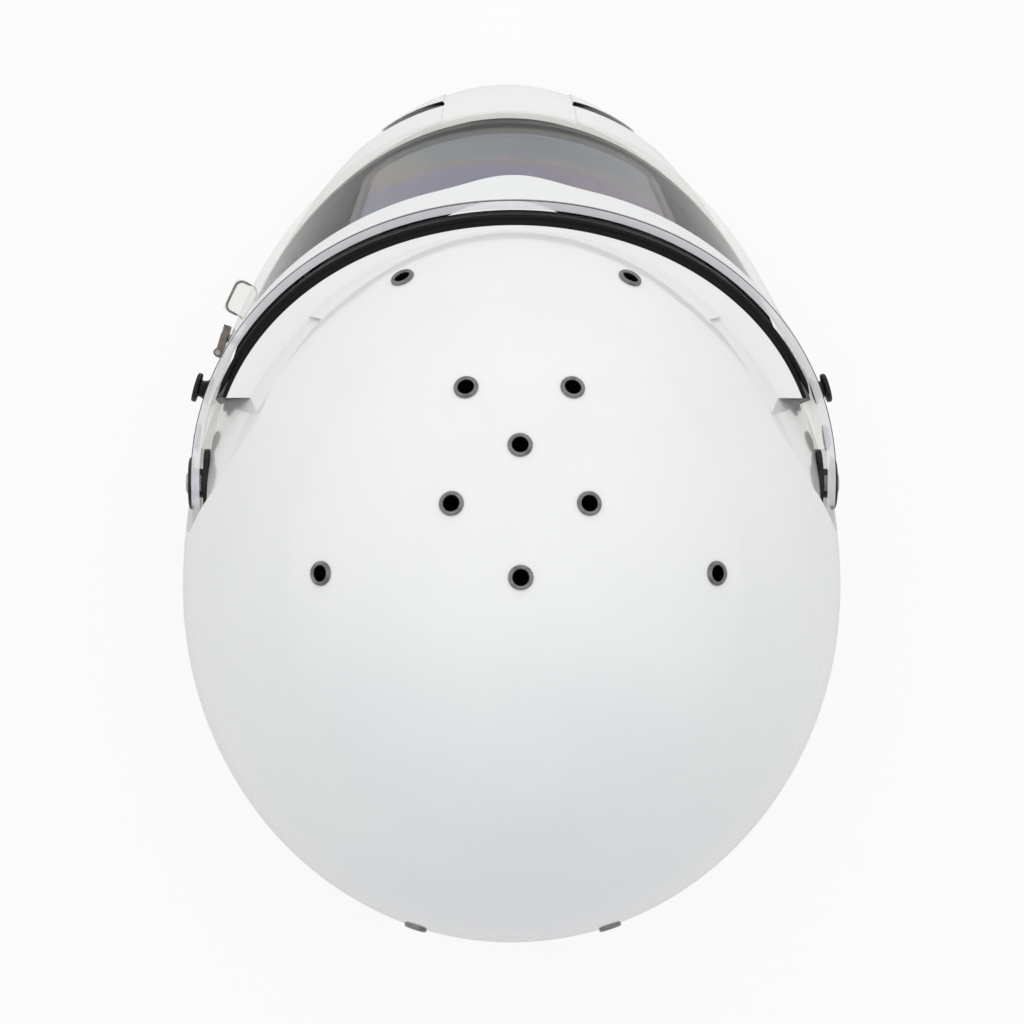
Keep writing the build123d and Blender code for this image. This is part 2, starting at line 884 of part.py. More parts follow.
# Shield and what rides on it
def shield_seat(ahead, z):
    """Plane on the left of the shield's outer face, its X towards the rear and its Z outward."""
    reach = shield_reach(z)
    x = arm_outer_x * math.sqrt(1 - (ahead / reach) ** 2)
    outward = Vector(x / arm_outer_x**2, -ahead / reach**2, 0)
    rearward = Vector(ahead / reach**2, x / arm_outer_x**2, 0)
    return Plane(origin=(x, pivot_y - ahead, z), x_dir=rearward, z_dir=outward)


with BuildPart() as shield:
    add(shield_layer(0, shield_thickness, shield_outline()))
    with BuildSketch(shield_seat(tab_ahead, tab_z)) as tab_outline:
        RectangleRounded(tab_length, tab_thickness, tab_round)
    extrude(tab_outline.sketch, amount=tab_reach)
    extrude(tab_outline.sketch, amount=-shield_thickness / 2)
    with Locations((0, pivot_y, pivot_z)):
        Cylinder(
            pivot_boss_radius + fit_gap, 2 * (half_width + overrun), rotation=(0, 90, 0),
            mode=Mode.SUBTRACT,
        )
save(shield, "shield")


# White strip along the top of the shield's outer face
with BuildPart() as below_strip:
    with BuildSketch(Plane.YZ):
        with BuildLine():
            Polyline(
                (far_front_y, shield_low_z - overrun),
                (pivot_y + arm_radius + overrun, shield_low_z - overrun),
                (pivot_y + arm_radius + overrun, pivot_z + arm_radius),
                (pivot_y - post_ahead, pivot_z + arm_radius),
                (pivot_y - reach_low, shield_top_z - strip_height),
                (far_front_y, shield_top_z - strip_height),
                close=True,
            )
        make_face()
    extrude(amount=half_width + overrun, both=True)

with BuildPart() as sun_strip:
    add(shield_layer(-strip_thickness, 0, shield_outline()))
    add(below_strip.part, mode=Mode.SUBTRACT)
save(sun_strip, "sun_strip")


def lens_plate(margin):
    """Front-view outline of the inner lens carried through the front of the helmet."""
    with BuildPart() as plate:
        with BuildSketch(Plane.XZ) as outline:
            with BuildLine():
                Polyline(
                    (-lens_half_low, lens_low_z),
                    (lens_half_low, lens_low_z),
                    (lens_half_top, lens_top_z),
                    (-lens_half_top, lens_top_z),
                    close=True,
                )
            make_face()
            fillet(outline.vertices(), lens_corner)
            if margin:
                offset(amount=margin)
        extrude(amount=-far_front_y)
    return plate.part


with BuildPart() as inner_lens_seal:
    add(shield_block(shield_thickness + glue_gap))
    add(shield_block(shield_thickness + seal_thickness), mode=Mode.SUBTRACT)
    add(lens_plate(0), mode=Mode.INTERSECT)
    add(lens_plate(-seal_width), mode=Mode.SUBTRACT)
save(inner_lens_seal, "inner_lens_seal")

with BuildPart() as inner_lens:
    add(shield_block(shield_thickness + seal_thickness + glue_gap))
    add(shield_block(shield_thickness + seal_thickness + lens_thickness), mode=Mode.SUBTRACT)
    add(lens_plate(0), mode=Mode.INTERSECT)
save(inner_lens, "inner_lens")

with BuildPart() as tearoff_post:
    with BuildSketch(Plane.XZ):
        with BuildLine():
            Polyline(
                (0, -fitting_root),
                (post_foot_radius, -fitting_root),
                (post_foot_radius, 0),
                (post_waist_radius, post_length - post_flange),
                (post_flange_radius, post_length - post_flange),
                (post_flange_radius, post_length),
                (0, post_length),
                close=True,
            )
        make_face()
    revolve(axis=Axis.Z)

with BuildPart() as arm_button:
    with Locations((0, 0, -fitting_root)):
        Cylinder(
            button_radius, button_height + fitting_root,
            align=(Align.CENTER, Align.CENTER, Align.MIN),
        )
    chamfer(arm_button.faces().sort_by(Axis.Z)[-1].edges(), button_height / 3)
    with Locations((0, 0, button_height)):
        Cone(
            button_tip_radius, button_tip_radius / 2, button_tip_height,
            align=(Align.CENTER, Align.CENTER, Align.MIN),
        )

for fitting, ahead, z, name in (
    (tearoff_post, post_ahead, post_z, "tearoff_post"),
    (arm_button, button_ahead, button_z, "arm_button"),
):
    with BuildPart() as placed:
        with Locations(shield_seat(ahead, z)):
            add(fitting.part)
        add(shield.part, mode=Mode.SUBTRACT)
    save_pair(placed, name)

# Latch: a lever on the shield folds over a post on the shell
latch_plane = shield_seat(latch_ahead, latch_z)
latch_pin_plane = Plane(
    origin=latch_plane.from_local_coords(Vector(0, 0, latch_pin_out)),
    x_dir=latch_plane.x_dir,
    z_dir=(0, 0, 1),
)
lug_places = [latch_lug_low, latch_lug_low + latch_lug_height + latch_lug_gap]
knuckle_low = latch_lug_low + latch_lug_height + latch_clearance
knuckle_height = latch_lug_gap - 2 * latch_clearance
latch_roof = latch_under + latch_thickness

with BuildPart() as latch_bracket:
    for low in lug_places:
        with BuildSketch(latch_pin_plane.offset(low)):
            Circle(latch_lug_reach)
            Rectangle(2 * latch_lug_reach, latch_pin_out, align=(Align.CENTER, Align.MIN))
            Circle(latch_pin_radius, mode=Mode.SUBTRACT)
        extrude(amount=latch_lug_height)
save(latch_bracket, "latch_bracket")

with BuildPart() as latch_pin:
    with BuildSketch(latch_pin_plane.offset(latch_lug_low)):
        Circle(latch_pin_radius)
    extrude(amount=2 * latch_lug_height + latch_lug_gap)
save(latch_pin, "latch_pin")

with BuildPart() as shield_latch:
    with BuildSketch(latch_plane.offset(latch_under)):
        with BuildLine():
            Polyline(
                (-latch_length, knuckle_low + knuckle_height / 2),
                (-latch_length, -latch_drop + latch_nose),
                (-latch_length + latch_nose, -latch_drop),
                (-latch_post_radius - latch_clearance, -latch_drop),
                (-latch_lug_reach - latch_clearance, knuckle_low),
                (0, knuckle_low),
                (0, knuckle_low + knuckle_height),
                (-latch_length + latch_nose, knuckle_low + knuckle_height),
                close=True,
            )
        make_face()
    extrude(amount=latch_thickness)
    with BuildSketch(latch_pin_plane.offset(knuckle_low)):
        Circle(latch_lug_reach)
    extrude(amount=knuckle_height)
    with BuildSketch(latch_pin_plane.offset(knuckle_low)):
        Circle(latch_pin_radius + bore_gap)
    extrude(amount=knuckle_height, mode=Mode.SUBTRACT)
    with BuildSketch(latch_plane.offset(latch_under)):
        with Locations((-latch_post_along, -latch_post_down)):
            Circle(latch_post_radius + latch_slot_gap)
            Rectangle(
                2 * latch_drop, 2 * (latch_post_radius + latch_slot_gap),
                rotation=-latch_slot_slope, align=(Align.MIN, Align.CENTER),
            )
    extrude(amount=latch_thickness - latch_slot_roof, mode=Mode.SUBTRACT)
    for step in range(serration_count):
        with Locations(latch_plane):
            with Locations((-latch_length + (step + 1) * serration_pitch, 0, latch_roof)):
                Box(
                    serration_pitch / 2, 4 * latch_drop, 2 * serration_depth,
                    mode=Mode.SUBTRACT,
                )
save(shield_latch, "shield_latch")

with BuildPart() as latch_post:
    with BuildSketch(latch_plane.offset(latch_post_tip)):
        with Locations((-latch_post_along, -latch_post_down)):
            Circle(latch_post_radius)
    extrude(amount=-3 * shell_wall)
    add(form(0), mode=Mode.SUBTRACT)
save(latch_post, "latch_post")


# Chin strap: webbing from the shell's rivets, joined by two rings under the jaw
def webbing(path_points, bends):
    """Strap along a path seen from the front, as wide as the webbing."""
    with BuildPart() as band:
        with BuildSketch(Plane.XZ.offset(-strap_rivet_y)):
            with BuildLine():
                FilletPolyline(*path_points, radius=bends)
            trace(line_width=strap_thickness)
        extrude(amount=strap_width / 2, both=True)
        with Locations((0, strap_rivet_y, strap_rivet_z)):
            Cylinder(
                strap_rivet_radius + bore_gap, 2 * half_width, rotation=(0, 90, 0),
                mode=Mode.SUBTRACT,
            )
    return band.part


fold_gap = strap_thickness / 2 + bore_gap
ring_low_z = strap_low_z + fold_gap
ring_top_z = ring_low_z + 2 * ring_plate + bore_gap
fold_top_z = ring_top_z + fold_gap
fold_radius = (fold_top_z - strap_low_z) / 2 - bore_gap
hang = [
    (strap_hang_x, strap_rivet_z + strap_end_rise),
    (strap_hang_x, strap_drop_z),
    (strap_foot_x, strap_foot_z),
    (strap_turn_x, strap_low_z),
]
with BuildPart() as left_strap:
    fold_x = ring_bar_x - ring_bar_width - fold_radius
    add(webbing(
        hang + [(fold_x, strap_low_z), (fold_x, fold_top_z), (ring_bar_x + strap_width, fold_top_z)],
        [strap_width, strap_end_rise, strap_end_rise, fold_radius, fold_radius],
    ))
save(left_strap, "left_strap")

with BuildPart() as right_strap:
    rise_x = (ring_bow_x + ring_bar_x - ring_bar_width - fold_radius) / 2
    add(webbing(
        [(-x, z) for x, z in hang] + [(rise_x, strap_low_z), (rise_x, fold_top_z), (-strap_width, fold_top_z)],
        [strap_width, strap_end_rise, strap_end_rise, strap_thickness, strap_thickness],
    ))
save(right_strap, "right_strap")

with BuildPart() as d_rings:
    ring_outer_x = ring_bow_x - ring_bar_width
    ring_span = ring_bar_x - ring_outer_x
    for low in (ring_low_z, ring_low_z + ring_plate + bore_gap):
        with BuildSketch(Plane.XY.offset(low)):
            with Locations(((ring_bar_x + ring_outer_x) / 2, strap_rivet_y)):
                RectangleRounded(ring_span, 2 * ring_half_length, ring_corner)
                Rectangle(
                    ring_span - 2 * ring_bar_width, 2 * (ring_half_length - ring_bar_width),
                    mode=Mode.SUBTRACT,
                )
        extrude(amount=ring_plate)
save(d_rings, "d_rings")

with BuildPart() as strap_rivet:
    disc(rivet_head_radius, rivet_seat_x - shell_wall / 2, rivet_seat_x + rivet_head_height,
         strap_rivet_y, strap_rivet_z)
    add(form(0), mode=Mode.SUBTRACT)
    with BuildPart(mode=Mode.PRIVATE) as spacer:
        disc(rivet_spacer_radius, strap_hang_x + strap_thickness / 2 + bore_gap,
             rivet_seat_x, strap_rivet_y, strap_rivet_z)
        add(form(shell_wall), mode=Mode.INTERSECT)
    add(spacer.part)
    disc(strap_rivet_radius, strap_hang_x - strap_thickness, rivet_seat_x + rivet_head_height / 2,
         strap_rivet_y, strap_rivet_z)
    disc(rivet_spacer_radius, strap_hang_x - strap_thickness - rivet_head_height,
         strap_hang_x - strap_thickness / 2 - bore_gap, strap_rivet_y, strap_rivet_z)
save_pair(strap_rivet, "strap_rivet")

# Threaded anchors for a tether, pressed in from inside the shell
with BuildPart() as anchor_insert:
    disc(anchor_flange_radius, anchor_seat_x - anchor_flange, half_width, anchor_y, anchor_z)
    add(form(shell_wall), mode=Mode.INTERSECT)
    disc(anchor_barrel_radius, anchor_seat_x - anchor_flange - anchor_length,
         anchor_seat_x - anchor_flange / 2, anchor_y, anchor_z)
    with Locations((anchor_seat_x, anchor_y, anchor_z)):
        Cylinder(anchor_thread_radius, 4 * anchor_length, rotation=(0, 90, 0), mode=Mode.SUBTRACT)
        Cylinder(anchor_hole_radius, 2 * anchor_flange, rotation=(0, 90, 0), mode=Mode.SUBTRACT)
save_pair(anchor_insert, "anchor_insert")
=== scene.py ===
"""Full-face auto racing helmet with a clear hinged shield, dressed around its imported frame.

Lengths in the dataclasses are millimetres, and meshes are built in metres.
X runs across the helmet, +X on the wearer's left, -Y is the front and +Z is up.
"""

from __future__ import annotations

import logging
import math
from abc import ABC, abstractmethod
from dataclasses import dataclass, field
from enum import Enum
from typing import Iterable, Optional, Sequence, Union

import bmesh
import bpy
import numpy as np
from mathutils import Matrix, Vector


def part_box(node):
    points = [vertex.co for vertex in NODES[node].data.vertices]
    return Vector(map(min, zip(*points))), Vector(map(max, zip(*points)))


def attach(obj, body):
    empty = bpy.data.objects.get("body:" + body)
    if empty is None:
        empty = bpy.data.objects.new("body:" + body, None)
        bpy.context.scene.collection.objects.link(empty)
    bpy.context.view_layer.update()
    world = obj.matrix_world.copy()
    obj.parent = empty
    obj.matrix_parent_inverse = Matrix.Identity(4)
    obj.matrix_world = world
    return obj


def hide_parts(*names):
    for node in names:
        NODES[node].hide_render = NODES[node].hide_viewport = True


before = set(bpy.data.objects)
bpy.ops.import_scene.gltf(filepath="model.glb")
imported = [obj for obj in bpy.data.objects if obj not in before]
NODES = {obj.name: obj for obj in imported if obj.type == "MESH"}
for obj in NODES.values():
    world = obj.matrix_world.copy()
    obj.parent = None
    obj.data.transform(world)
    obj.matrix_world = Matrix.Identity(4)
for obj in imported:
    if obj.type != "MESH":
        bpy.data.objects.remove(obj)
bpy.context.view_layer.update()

log = logging.getLogger("helmet")
MM = 0.001
Point = tuple[float, float, float]
Colour = tuple[float, float, float]
Section = list[tuple[float, float]]
Mesh = tuple[list, list]
Material = bpy.types.Material
EVEN: Point = (1.0, 1.0, 1.0)
WHITE: Colour = (1.0, 1.0, 1.0)
ARC_STEPS = 12
TIP_SHARE = 0.35
HEAD_CENTRE = Vector((0.0, 0.03, 0.11))


class Body(str, Enum):
    """The moving bodies of the helmet."""

    SHELL = "shell"
    SHIELD = "shield"
    LATCH = "latch"
    STRAP = "chin_strap"


class Side(Enum):
    """The wearer's left and right."""

    LEFT = 1
    RIGHT = -1

    @property
    def word(self) -> str:
        """Prefix of this side's nodes and pieces."""
        return self.name.lower()


# ---------------------------------------------------------------- shader graphs


class Wire:
    """One output socket of a shader graph, with arithmetic on its values."""

    def __init__(self, graph: Graph, socket: bpy.types.NodeSocket) -> None:
        """Keeps the graph and the output socket that the wire starts from."""
        self.graph = graph
        self.socket = socket

    def __add__(self, other: Value) -> Wire:
        """Sum."""
        return self.graph.maths("ADD", self, other)

    __radd__ = __add__

    def __sub__(self, other: Value) -> Wire:
        """Difference."""
        return self.graph.maths("SUBTRACT", self, other)

    def __rsub__(self, other: Value) -> Wire:
        """Reflected difference."""
        return self.graph.maths("SUBTRACT", other, self)

    def __mul__(self, other: Value) -> Wire:
        """Product."""
        return self.graph.maths("MULTIPLY", self, other)

    __rmul__ = __mul__

    def __truediv__(self, other: Value) -> Wire:
        """Quotient."""
        return self.graph.maths("DIVIDE", self, other)

    def __pow__(self, other: Value) -> Wire:
        """Power."""
        return self.graph.maths("POWER", self, other)

    def above(self, edge: float, blend: float) -> Wire:
        """Soft step from 0 below an edge to 1 above it. The blend is half of its width."""
        settings = {"interpolation_type": "SMOOTHSTEP"}
        return self.graph.node("ShaderNodeMapRange", settings, {
            "Value": self, "From Min": edge - blend, "From Max": edge + blend,
        })


Value = Union[Wire, float]


class Graph:
    """Node tree of one material, or of the world."""

    def __init__(self, name: str, world: bool = False) -> None:
        """Starts an empty tree.

        Args:
            name: Name of the material or world.
            world: Whether it is the world's tree.
        """
        self.owner = (bpy.data.worlds if world else bpy.data.materials).new(name)
        self.owner.use_nodes = True
        self.output = "ShaderNodeOutputWorld" if world else "ShaderNodeOutputMaterial"
        self.tree = self.owner.node_tree
        self.tree.nodes.clear()

    def node(
        self, kind: str, settings: Optional[dict] = None, inputs: Optional[dict] = None,
        output: Union[int, str] = 0,
    ) -> Wire:
        """Adds any node.

        Args:
            kind: Blender's name of the node's type.
            settings: Properties, which are set first. A ramp's stops go under "stops".
            inputs: Socket name or number to a value, or to the wire that feeds it.
            output: Output that the wire starts from.

        Returns:
            The wire from that output.
        """
        made = self.tree.nodes.new(kind)
        for name, value in (settings or {}).items():
            if name == "stops":
                self._set_stops(made.color_ramp, value)
            else:
                setattr(made, name, value)
        for key, value in (inputs or {}).items():
            socket = made.inputs[key]
            if isinstance(value, Wire):
                self.tree.links.new(value.socket, socket)
            else:
                socket.default_value = value
        return Wire(self, made.outputs[output] if made.outputs else None)

    def maths(self, operation: str, *values: Value) -> Wire:
        """Math node of Blender's name, with its terms in order."""
        return self.node("ShaderNodeMath", {"operation": operation}, dict(enumerate(values)))

    @staticmethod
    def _set_stops(ramp: bpy.types.ColorRamp, stops: Sequence[tuple[float, Colour]]) -> None:
        """Gives a ramp its stops.

        Args:
            ramp: Colour ramp with its two first stops.
            stops: Place and colour of each.
        """
        while len(ramp.elements) < len(stops):
            ramp.elements.new(0.5)
        for element, (place, colour) in zip(ramp.elements, stops):
            element.position = place
            element.color = (*colour, 1.0)

    def place(self, scale: Point = EVEN) -> Wire:
        """Point on the piece in metres, in the helmet's frame, with a factor along each axis."""
        here = self.node("ShaderNodeTexCoord", output="Object")
        return self.node("ShaderNodeMapping", {}, {"Vector": here, "Scale": scale})

    def noise(
        self, scale: float, detail: float = 3.0, rough: float = 0.5, stretch: Point = EVEN
    ) -> Wire:
        """Fractal noise from 0 to 1, with its scale in features to the metre."""
        return self.node("ShaderNodeTexNoise", {}, {
            "Vector": self.place(stretch), "Scale": scale, "Detail": detail, "Roughness": rough,
        })

    def cells(self, scale: float, feature: str = "F1", stretch: Point = EVEN) -> Wire:
        """Distance to the nearest point or edge of a pattern, with so many cells to the metre."""
        return self.node("ShaderNodeTexVoronoi", {"feature": feature}, {
            "Vector": self.place(stretch), "Scale": scale,
        })

    def waves(self, scale: float, axis: str) -> Wire:
        """Even ribs across X, Y or Z, from 0 to 1."""
        return self.node(
            "ShaderNodeTexWave", {"bands_direction": axis},
            {"Vector": self.place(), "Scale": scale, "Detail": 1.0},
            output="Fac",
        )

    def tint(self, factor: Wire, first: Colour, second: Colour) -> Wire:
        """Colour between two colours, the first at 0 and the second at 1."""
        return self.node("ShaderNodeMix", {"data_type": "RGBA"}, {
            "Factor": factor, 6: (*first, 1.0), 7: (*second, 1.0),
        }, output=2)

    def bump(self, height: Wire, depth: float, strength: float = 1.0) -> Wire:
        """Normal bent by a height from 0 to 1, with the relief's depth in millimetres."""
        return self.node("ShaderNodeBump", {}, {
            "Height": height, "Distance": depth * MM, "Strength": strength,
        })

    def principled(self, inputs: dict) -> Wire:
        """Principled shader from socket names to values or wires. A colour may be a triple."""
        ready = {
            name: (*value, 1.0) if isinstance(value, tuple) and len(value) == 3 else value
            for name, value in inputs.items()
        }
        return self.node("ShaderNodeBsdfPrincipled", {}, ready)

    def part(self, vector: Wire, axis: str) -> Wire:
        """Component of a vector along X, Y or Z."""
        return self.node("ShaderNodeSeparateXYZ", {}, {"Vector": vector}, output=axis)

    def upward(self) -> Wire:
        """Vertical part of the surface's own normal, in the helmet's frame at rest."""
        return self.part(self.node("ShaderNodeTexCoord", output="Normal"), "Z")

    def facing(self) -> Wire:
        """0 where the surface is seen straight on and 1 at a grazing angle."""
        return self.node("ShaderNodeLayerWeight", {}, {"Blend": 0.5}, output="Facing")

    def finish(self, shader: Wire) -> Union[Material, bpy.types.World]:
        """Links the shader to the output and gives back the tree's owner."""
        self.node(self.output, {}, {"Surface": shader})
        return self.owner


# ---------------------------------------------------------------- finishes


@dataclass(frozen=True)
class ShieldForm:
    """Curved face of the shield, as the frame has it."""

    pivot_along: float = -6.585
    pivot_up: float = 138.0
    arm_out: float = 121.0
    low: float = 71.2
    top: float = 172.0
    reach_low: float = 149.486
    reach_top: float = 104.32

    def reach(self, up: float) -> float:
        """Front semi-length of the outer face at a height."""
        share = (up - self.low) / (self.top - self.low)
        return self.reach_low + (self.reach_top - self.reach_low) * share

    def spot(self, across: float, up: float, inset: float) -> Vector:
        """Place on the face in front.

        Args:
            across: Distance from the middle plane.
            up: Height.
            inset: Depth behind the outer side.

        Returns:
            The place in millimetres.
        """
        share = across / (self.arm_out - inset)
        ahead = (self.reach(up) - inset) * math.sqrt(max(0.0, 1.0 - share * share))
        return Vector((across, self.pivot_along - ahead, up))

    def seat(self, ahead: float, up: float, side: Side) -> Matrix:
        """Placement on the outer face.

        Args:
            ahead: Distance ahead of the pivot.
            up: Height.
            side: Side of the helmet.

        Returns:
            Placement with its Z outward and its X towards the rear, as near as can be.
        """
        share = max(ahead, 0.0) / self.reach(up)
        x = self.arm_out * math.sqrt(max(0.0, 1.0 - share * share))
        out = Vector((x / self.arm_out ** 2, -ahead / self.reach(up) ** 2, 0.0)).normalized()
        rear = Vector((-out.y, out.x, 0.0))
        origin = Vector((x, self.pivot_along - ahead, up)) * MM
        if side is Side.RIGHT:
            origin.x, out.x, rear.x = -origin.x, -out.x, -rear.x
        high = out.cross(rear)
        turn = Matrix((rear, high, out)).transposed().to_4x4()
        return Matrix.Translation(origin) @ turn


@dataclass(frozen=True)
class Finish(ABC):
    """Look of one material, which bears its name."""

    name: str

    @abstractmethod
    def shader(self, graph: Graph) -> Wire:
        """Builds the shader.

        Args:
            graph: The material's tree.

        Returns:
            The shader.
        """

    def material(self) -> Material:
        """Builds the material."""
        graph = Graph(self.name)
        return graph.finish(self.shader(graph))


@dataclass(frozen=True)
class Gelcoat(Finish):
    """Glossy white paint under clear lacquer, with faint orange peel and dust."""

    name: str = "white_shell_paint"
    colour: Colour = (0.815, 0.82, 0.815)
    shade: Colour = (0.775, 0.78, 0.785)

    def shader(self, graph: Graph) -> Wire:
        """Builds the shader.

        Args:
            graph: The material's tree.

        Returns:
            The shader.
        """
        cloud = graph.noise(14.0, 4.0, 0.6)
        peel = graph.noise(420.0, 2.0, 0.5)
        smear = graph.noise(55.0, 5.0, 0.65, (1.0, 0.35, 1.0))
        return graph.principled({
            "Base Color": graph.tint(cloud.above(0.55, 0.35), self.colour, self.shade),
            "Roughness": 0.13 + 0.09 * smear.above(0.56, 0.12),
            "Coat Weight": 1.0,
            "Coat Roughness": 0.08,
            "Coat IOR": 1.5,
            "Normal": graph.bump(peel, 0.012, 0.35),
        })


@dataclass(frozen=True)
class StripFilm(Finish):
    """White film on the shield, with a thin printed line along its top."""

    name: str = "white_strip_film"
    colour: Colour = (0.80, 0.82, 0.82)
    ink: Colour = (0.012, 0.012, 0.014)
    front_along: float = -110.9
    top_up: float = 172.0
    fall: float = -0.1608
    line: float = 1.15

    def shader(self, graph: Graph) -> Wire:
        """Builds the shader.

        Args:
            graph: The material's tree.

        Returns:
            The shader.
        """
        here = graph.place()
        behind = graph.part(here, "Y") - self.front_along * MM
        top = self.top_up * MM + self.fall * behind
        inked = (graph.part(here, "Z") - top).above(-self.line * MM, 0.00012)
        smear = graph.noise(60.0, 4.0, 0.6).above(0.58, 0.12)
        return graph.principled({
            "Base Color": graph.tint(inked, self.colour, self.ink),
            "Roughness": 0.16 + 0.08 * smear,
            "Coat Weight": 1.0,
            "Coat Roughness": 0.04,
            "Normal": graph.bump(graph.noise(380.0, 2.0), 0.008, 0.3),
        })


@dataclass(frozen=True)
class PortSurround(Finish):
    """Black rubber near the shield, with its upper seat painted like the shell."""

    name: str = "eyeport_surround"
    rubber: Colour = (0.006, 0.006, 0.007)
    paint: Colour = (0.815, 0.82, 0.815)
    form: ShieldForm = ShieldForm()
    width: float = 7.9
    above_up: float = 0.150

    def shader(self, graph: Graph) -> Wire:
        """Builds the shader.

        Args:
            graph: The material's tree.

        Returns:
            The shader.
        """
        here = graph.place()
        form = self.form
        up = graph.part(here, "Z")
        slope = form.reach(1.0) - form.reach(0.0)
        reach = up * slope + (form.reach(0.0) - self.width) * MM
        across = graph.part(here, "X") / ((form.arm_out - self.width) * MM)
        ahead = (form.pivot_along * MM - graph.part(here, "Y")) / reach
        inside = 1.0 - (across * across + ahead * ahead).above(1.0, 0.002)
        painted = inside * graph.upward().above(0.6, 0.05) * up.above(self.above_up, 0.004)
        grain = graph.noise(700.0, 2.0)
        return graph.principled({
            "Base Color": graph.tint(painted, self.rubber, self.paint),
            "Roughness": 0.34 - 0.2 * painted,
            "Specular IOR Level": 0.14,
            "Coat Weight": painted,
            "Coat Roughness": 0.08,
            "Normal": graph.bump(grain, 0.02, 0.4),
        })


@dataclass(frozen=True)
class Moulding(Finish):
    """Plain moulded polymer or rubber with a fine grain."""

    colour: Colour
    roughness: float
    grain: float = 900.0
    depth: float = 0.03
    worn: Colour = (0.06, 0.06, 0.06)
    shine: float = 0.3

    def shader(self, graph: Graph) -> Wire:
        """Builds the shader.

        Args:
            graph: The material's tree.

        Returns:
            The shader.
        """
        grain = graph.noise(self.grain, 2.0)
        rubbed = graph.noise(70.0, 5.0, 0.65).above(0.66, 0.08)
        return graph.principled({
            "Base Color": graph.tint(rubbed * 0.6, self.colour, self.worn),
            "Roughness": self.roughness + 0.12 * rubbed,
            "Specular IOR Level": self.shine,
            "Normal": graph.bump(grain, self.depth, 0.6),
        })


@dataclass(frozen=True)
class Metal(Finish):
    """Plated or plain metal with fine scratches and darker stains at random."""

    colour: Colour
    dull: Colour
    roughness: float
    scratch: Point = EVEN

    def shader(self, graph: Graph) -> Wire:
        """Builds the shader.

        Args:
            graph: The material's tree.

        Returns:
            The shader.
        """
        stain = graph.noise(260.0, 4.0, 0.6).above(0.55, 0.2)
        lines = graph.noise(1800.0, 2.0, 0.6, self.scratch)
        return graph.principled({
            "Base Color": graph.tint(stain, self.colour, self.dull),
            "Metallic": 1.0,
            "Roughness": self.roughness + 0.14 * lines,
            "Normal": graph.bump(lines, 0.006, 0.4),
        })


@dataclass(frozen=True)
class ClearPlastic(Finish):
    """Clear sheet: see-through, with reflections that grow at a grazing angle."""

    tint: Colour = (0.985, 0.98, 0.965)
    reflection: Colour = WHITE
    least: float = 0.02
    grazing: float = 0.75
    haze: float = 0.02
    rainbow: bool = False
    milky_edge: float = 0.0
    milk: Colour = (0.66, 0.66, 0.71)
    streaks: Colour = (0.8, 0.8, 0.84)
    bands: tuple = (
        (0.40, (0.68, 0.70, 0.96)), (0.48, (0.84, 0.68, 0.84)), (0.54, (0.86, 0.80, 0.70)),
        (0.60, (0.66, 0.78, 0.86)),
    )
    edge_from: float = 0.120
    falloff: float = 9.0

    def shader(self, graph: Graph) -> Wire:
        """Builds the shader.

        Args:
            graph: The material's tree.

        Returns:
            The shader.
        """
        smudge = graph.noise(60.0, 5.0, 0.62).above(0.6, 0.16)
        clear = graph.node("ShaderNodeBsdfTransparent", {}, {"Color": (*self.tint, 1.0)})
        colour: Union[Wire, Colour] = self.reflection
        if self.rainbow:
            band = graph.noise(9.0, 1.0, 0.4, (0.4, 1.0, 2.2))
            stops = [(0.0, self.reflection), *self.bands, (0.72, self.reflection)]
            colour = graph.node("ShaderNodeValToRGB", {"stops": stops}, {"Fac": band})
        gloss = graph.principled({
            "Base Color": colour, "Metallic": 1.0, "Roughness": self.haze + 0.03 * smudge,
        })
        mirror = self.least + self.grazing * graph.facing() ** self.falloff
        share = mirror + 0.012 * smudge
        sheet = graph.node("ShaderNodeMixShader", {}, {0: share, 1: clear, 2: gloss})
        if not self.milky_edge:
            return sheet
        cut = graph.maths("ABSOLUTE", graph.upward()).above(0.86, 0.05)
        high = graph.part(graph.place(), "Z").above(self.edge_from, 0.004)
        streak = graph.noise(160.0, 3.0, 0.6)
        edge = graph.principled({
            "Base Color": graph.tint(streak, self.milk, self.streaks), "Roughness": 0.22,
        })
        share = cut * (0.1 + self.milky_edge * high)
        return graph.node("ShaderNodeMixShader", {}, {0: share, 1: sheet, 2: edge})


@dataclass(frozen=True)
class Cloth(Finish):
    """Knitted or woven cloth over foam."""

    colour: Colour
    light: Colour
    pitch: float = 1.1

    def shader(self, graph: Graph) -> Wire:
        """Builds the shader.

        Args:
            graph: The material's tree.

        Returns:
            The shader.
        """
        scale = 1.0 / (self.pitch * MM)
        knit = graph.cells(scale, stretch=(1.0, 0.7, 1.0))
        fuzz = graph.noise(2200.0, 3.0, 0.7)
        worn = graph.noise(30.0, 4.0, 0.6).above(0.6, 0.15)
        return graph.principled({
            "Base Color": graph.tint(knit * 0.7 + 0.5 * worn, self.colour, self.light),
            "Roughness": 0.86,
            "Sheen Weight": 0.35,
            "Sheen Roughness": 0.5,
            "Normal": graph.bump(knit + 0.4 * fuzz, 0.28, 0.9),
        })


@dataclass(frozen=True)
class Webbing(Finish):
    """Woven strap with ribs across it and a chevron grain."""

    name: str = "strap_webbing"
    colour: Colour = (0.016, 0.016, 0.017)
    light: Colour = (0.055, 0.055, 0.058)

    def shader(self, graph: Graph) -> Wire:
        """Builds the shader.

        Args:
            graph: The material's tree.

        Returns:
            The shader.
        """
        along = graph.waves(520.0, "Y")
        across = graph.waves(410.0, "X")
        fuzz = graph.noise(1900.0, 3.0, 0.7)
        weave = along * across + 0.3 * fuzz
        return graph.principled({
            "Base Color": graph.tint(weave, self.colour, self.light),
            "Roughness": 0.72,
            "Sheen Weight": 0.2,
            "Normal": graph.bump(weave, 0.2, 0.9),
        })


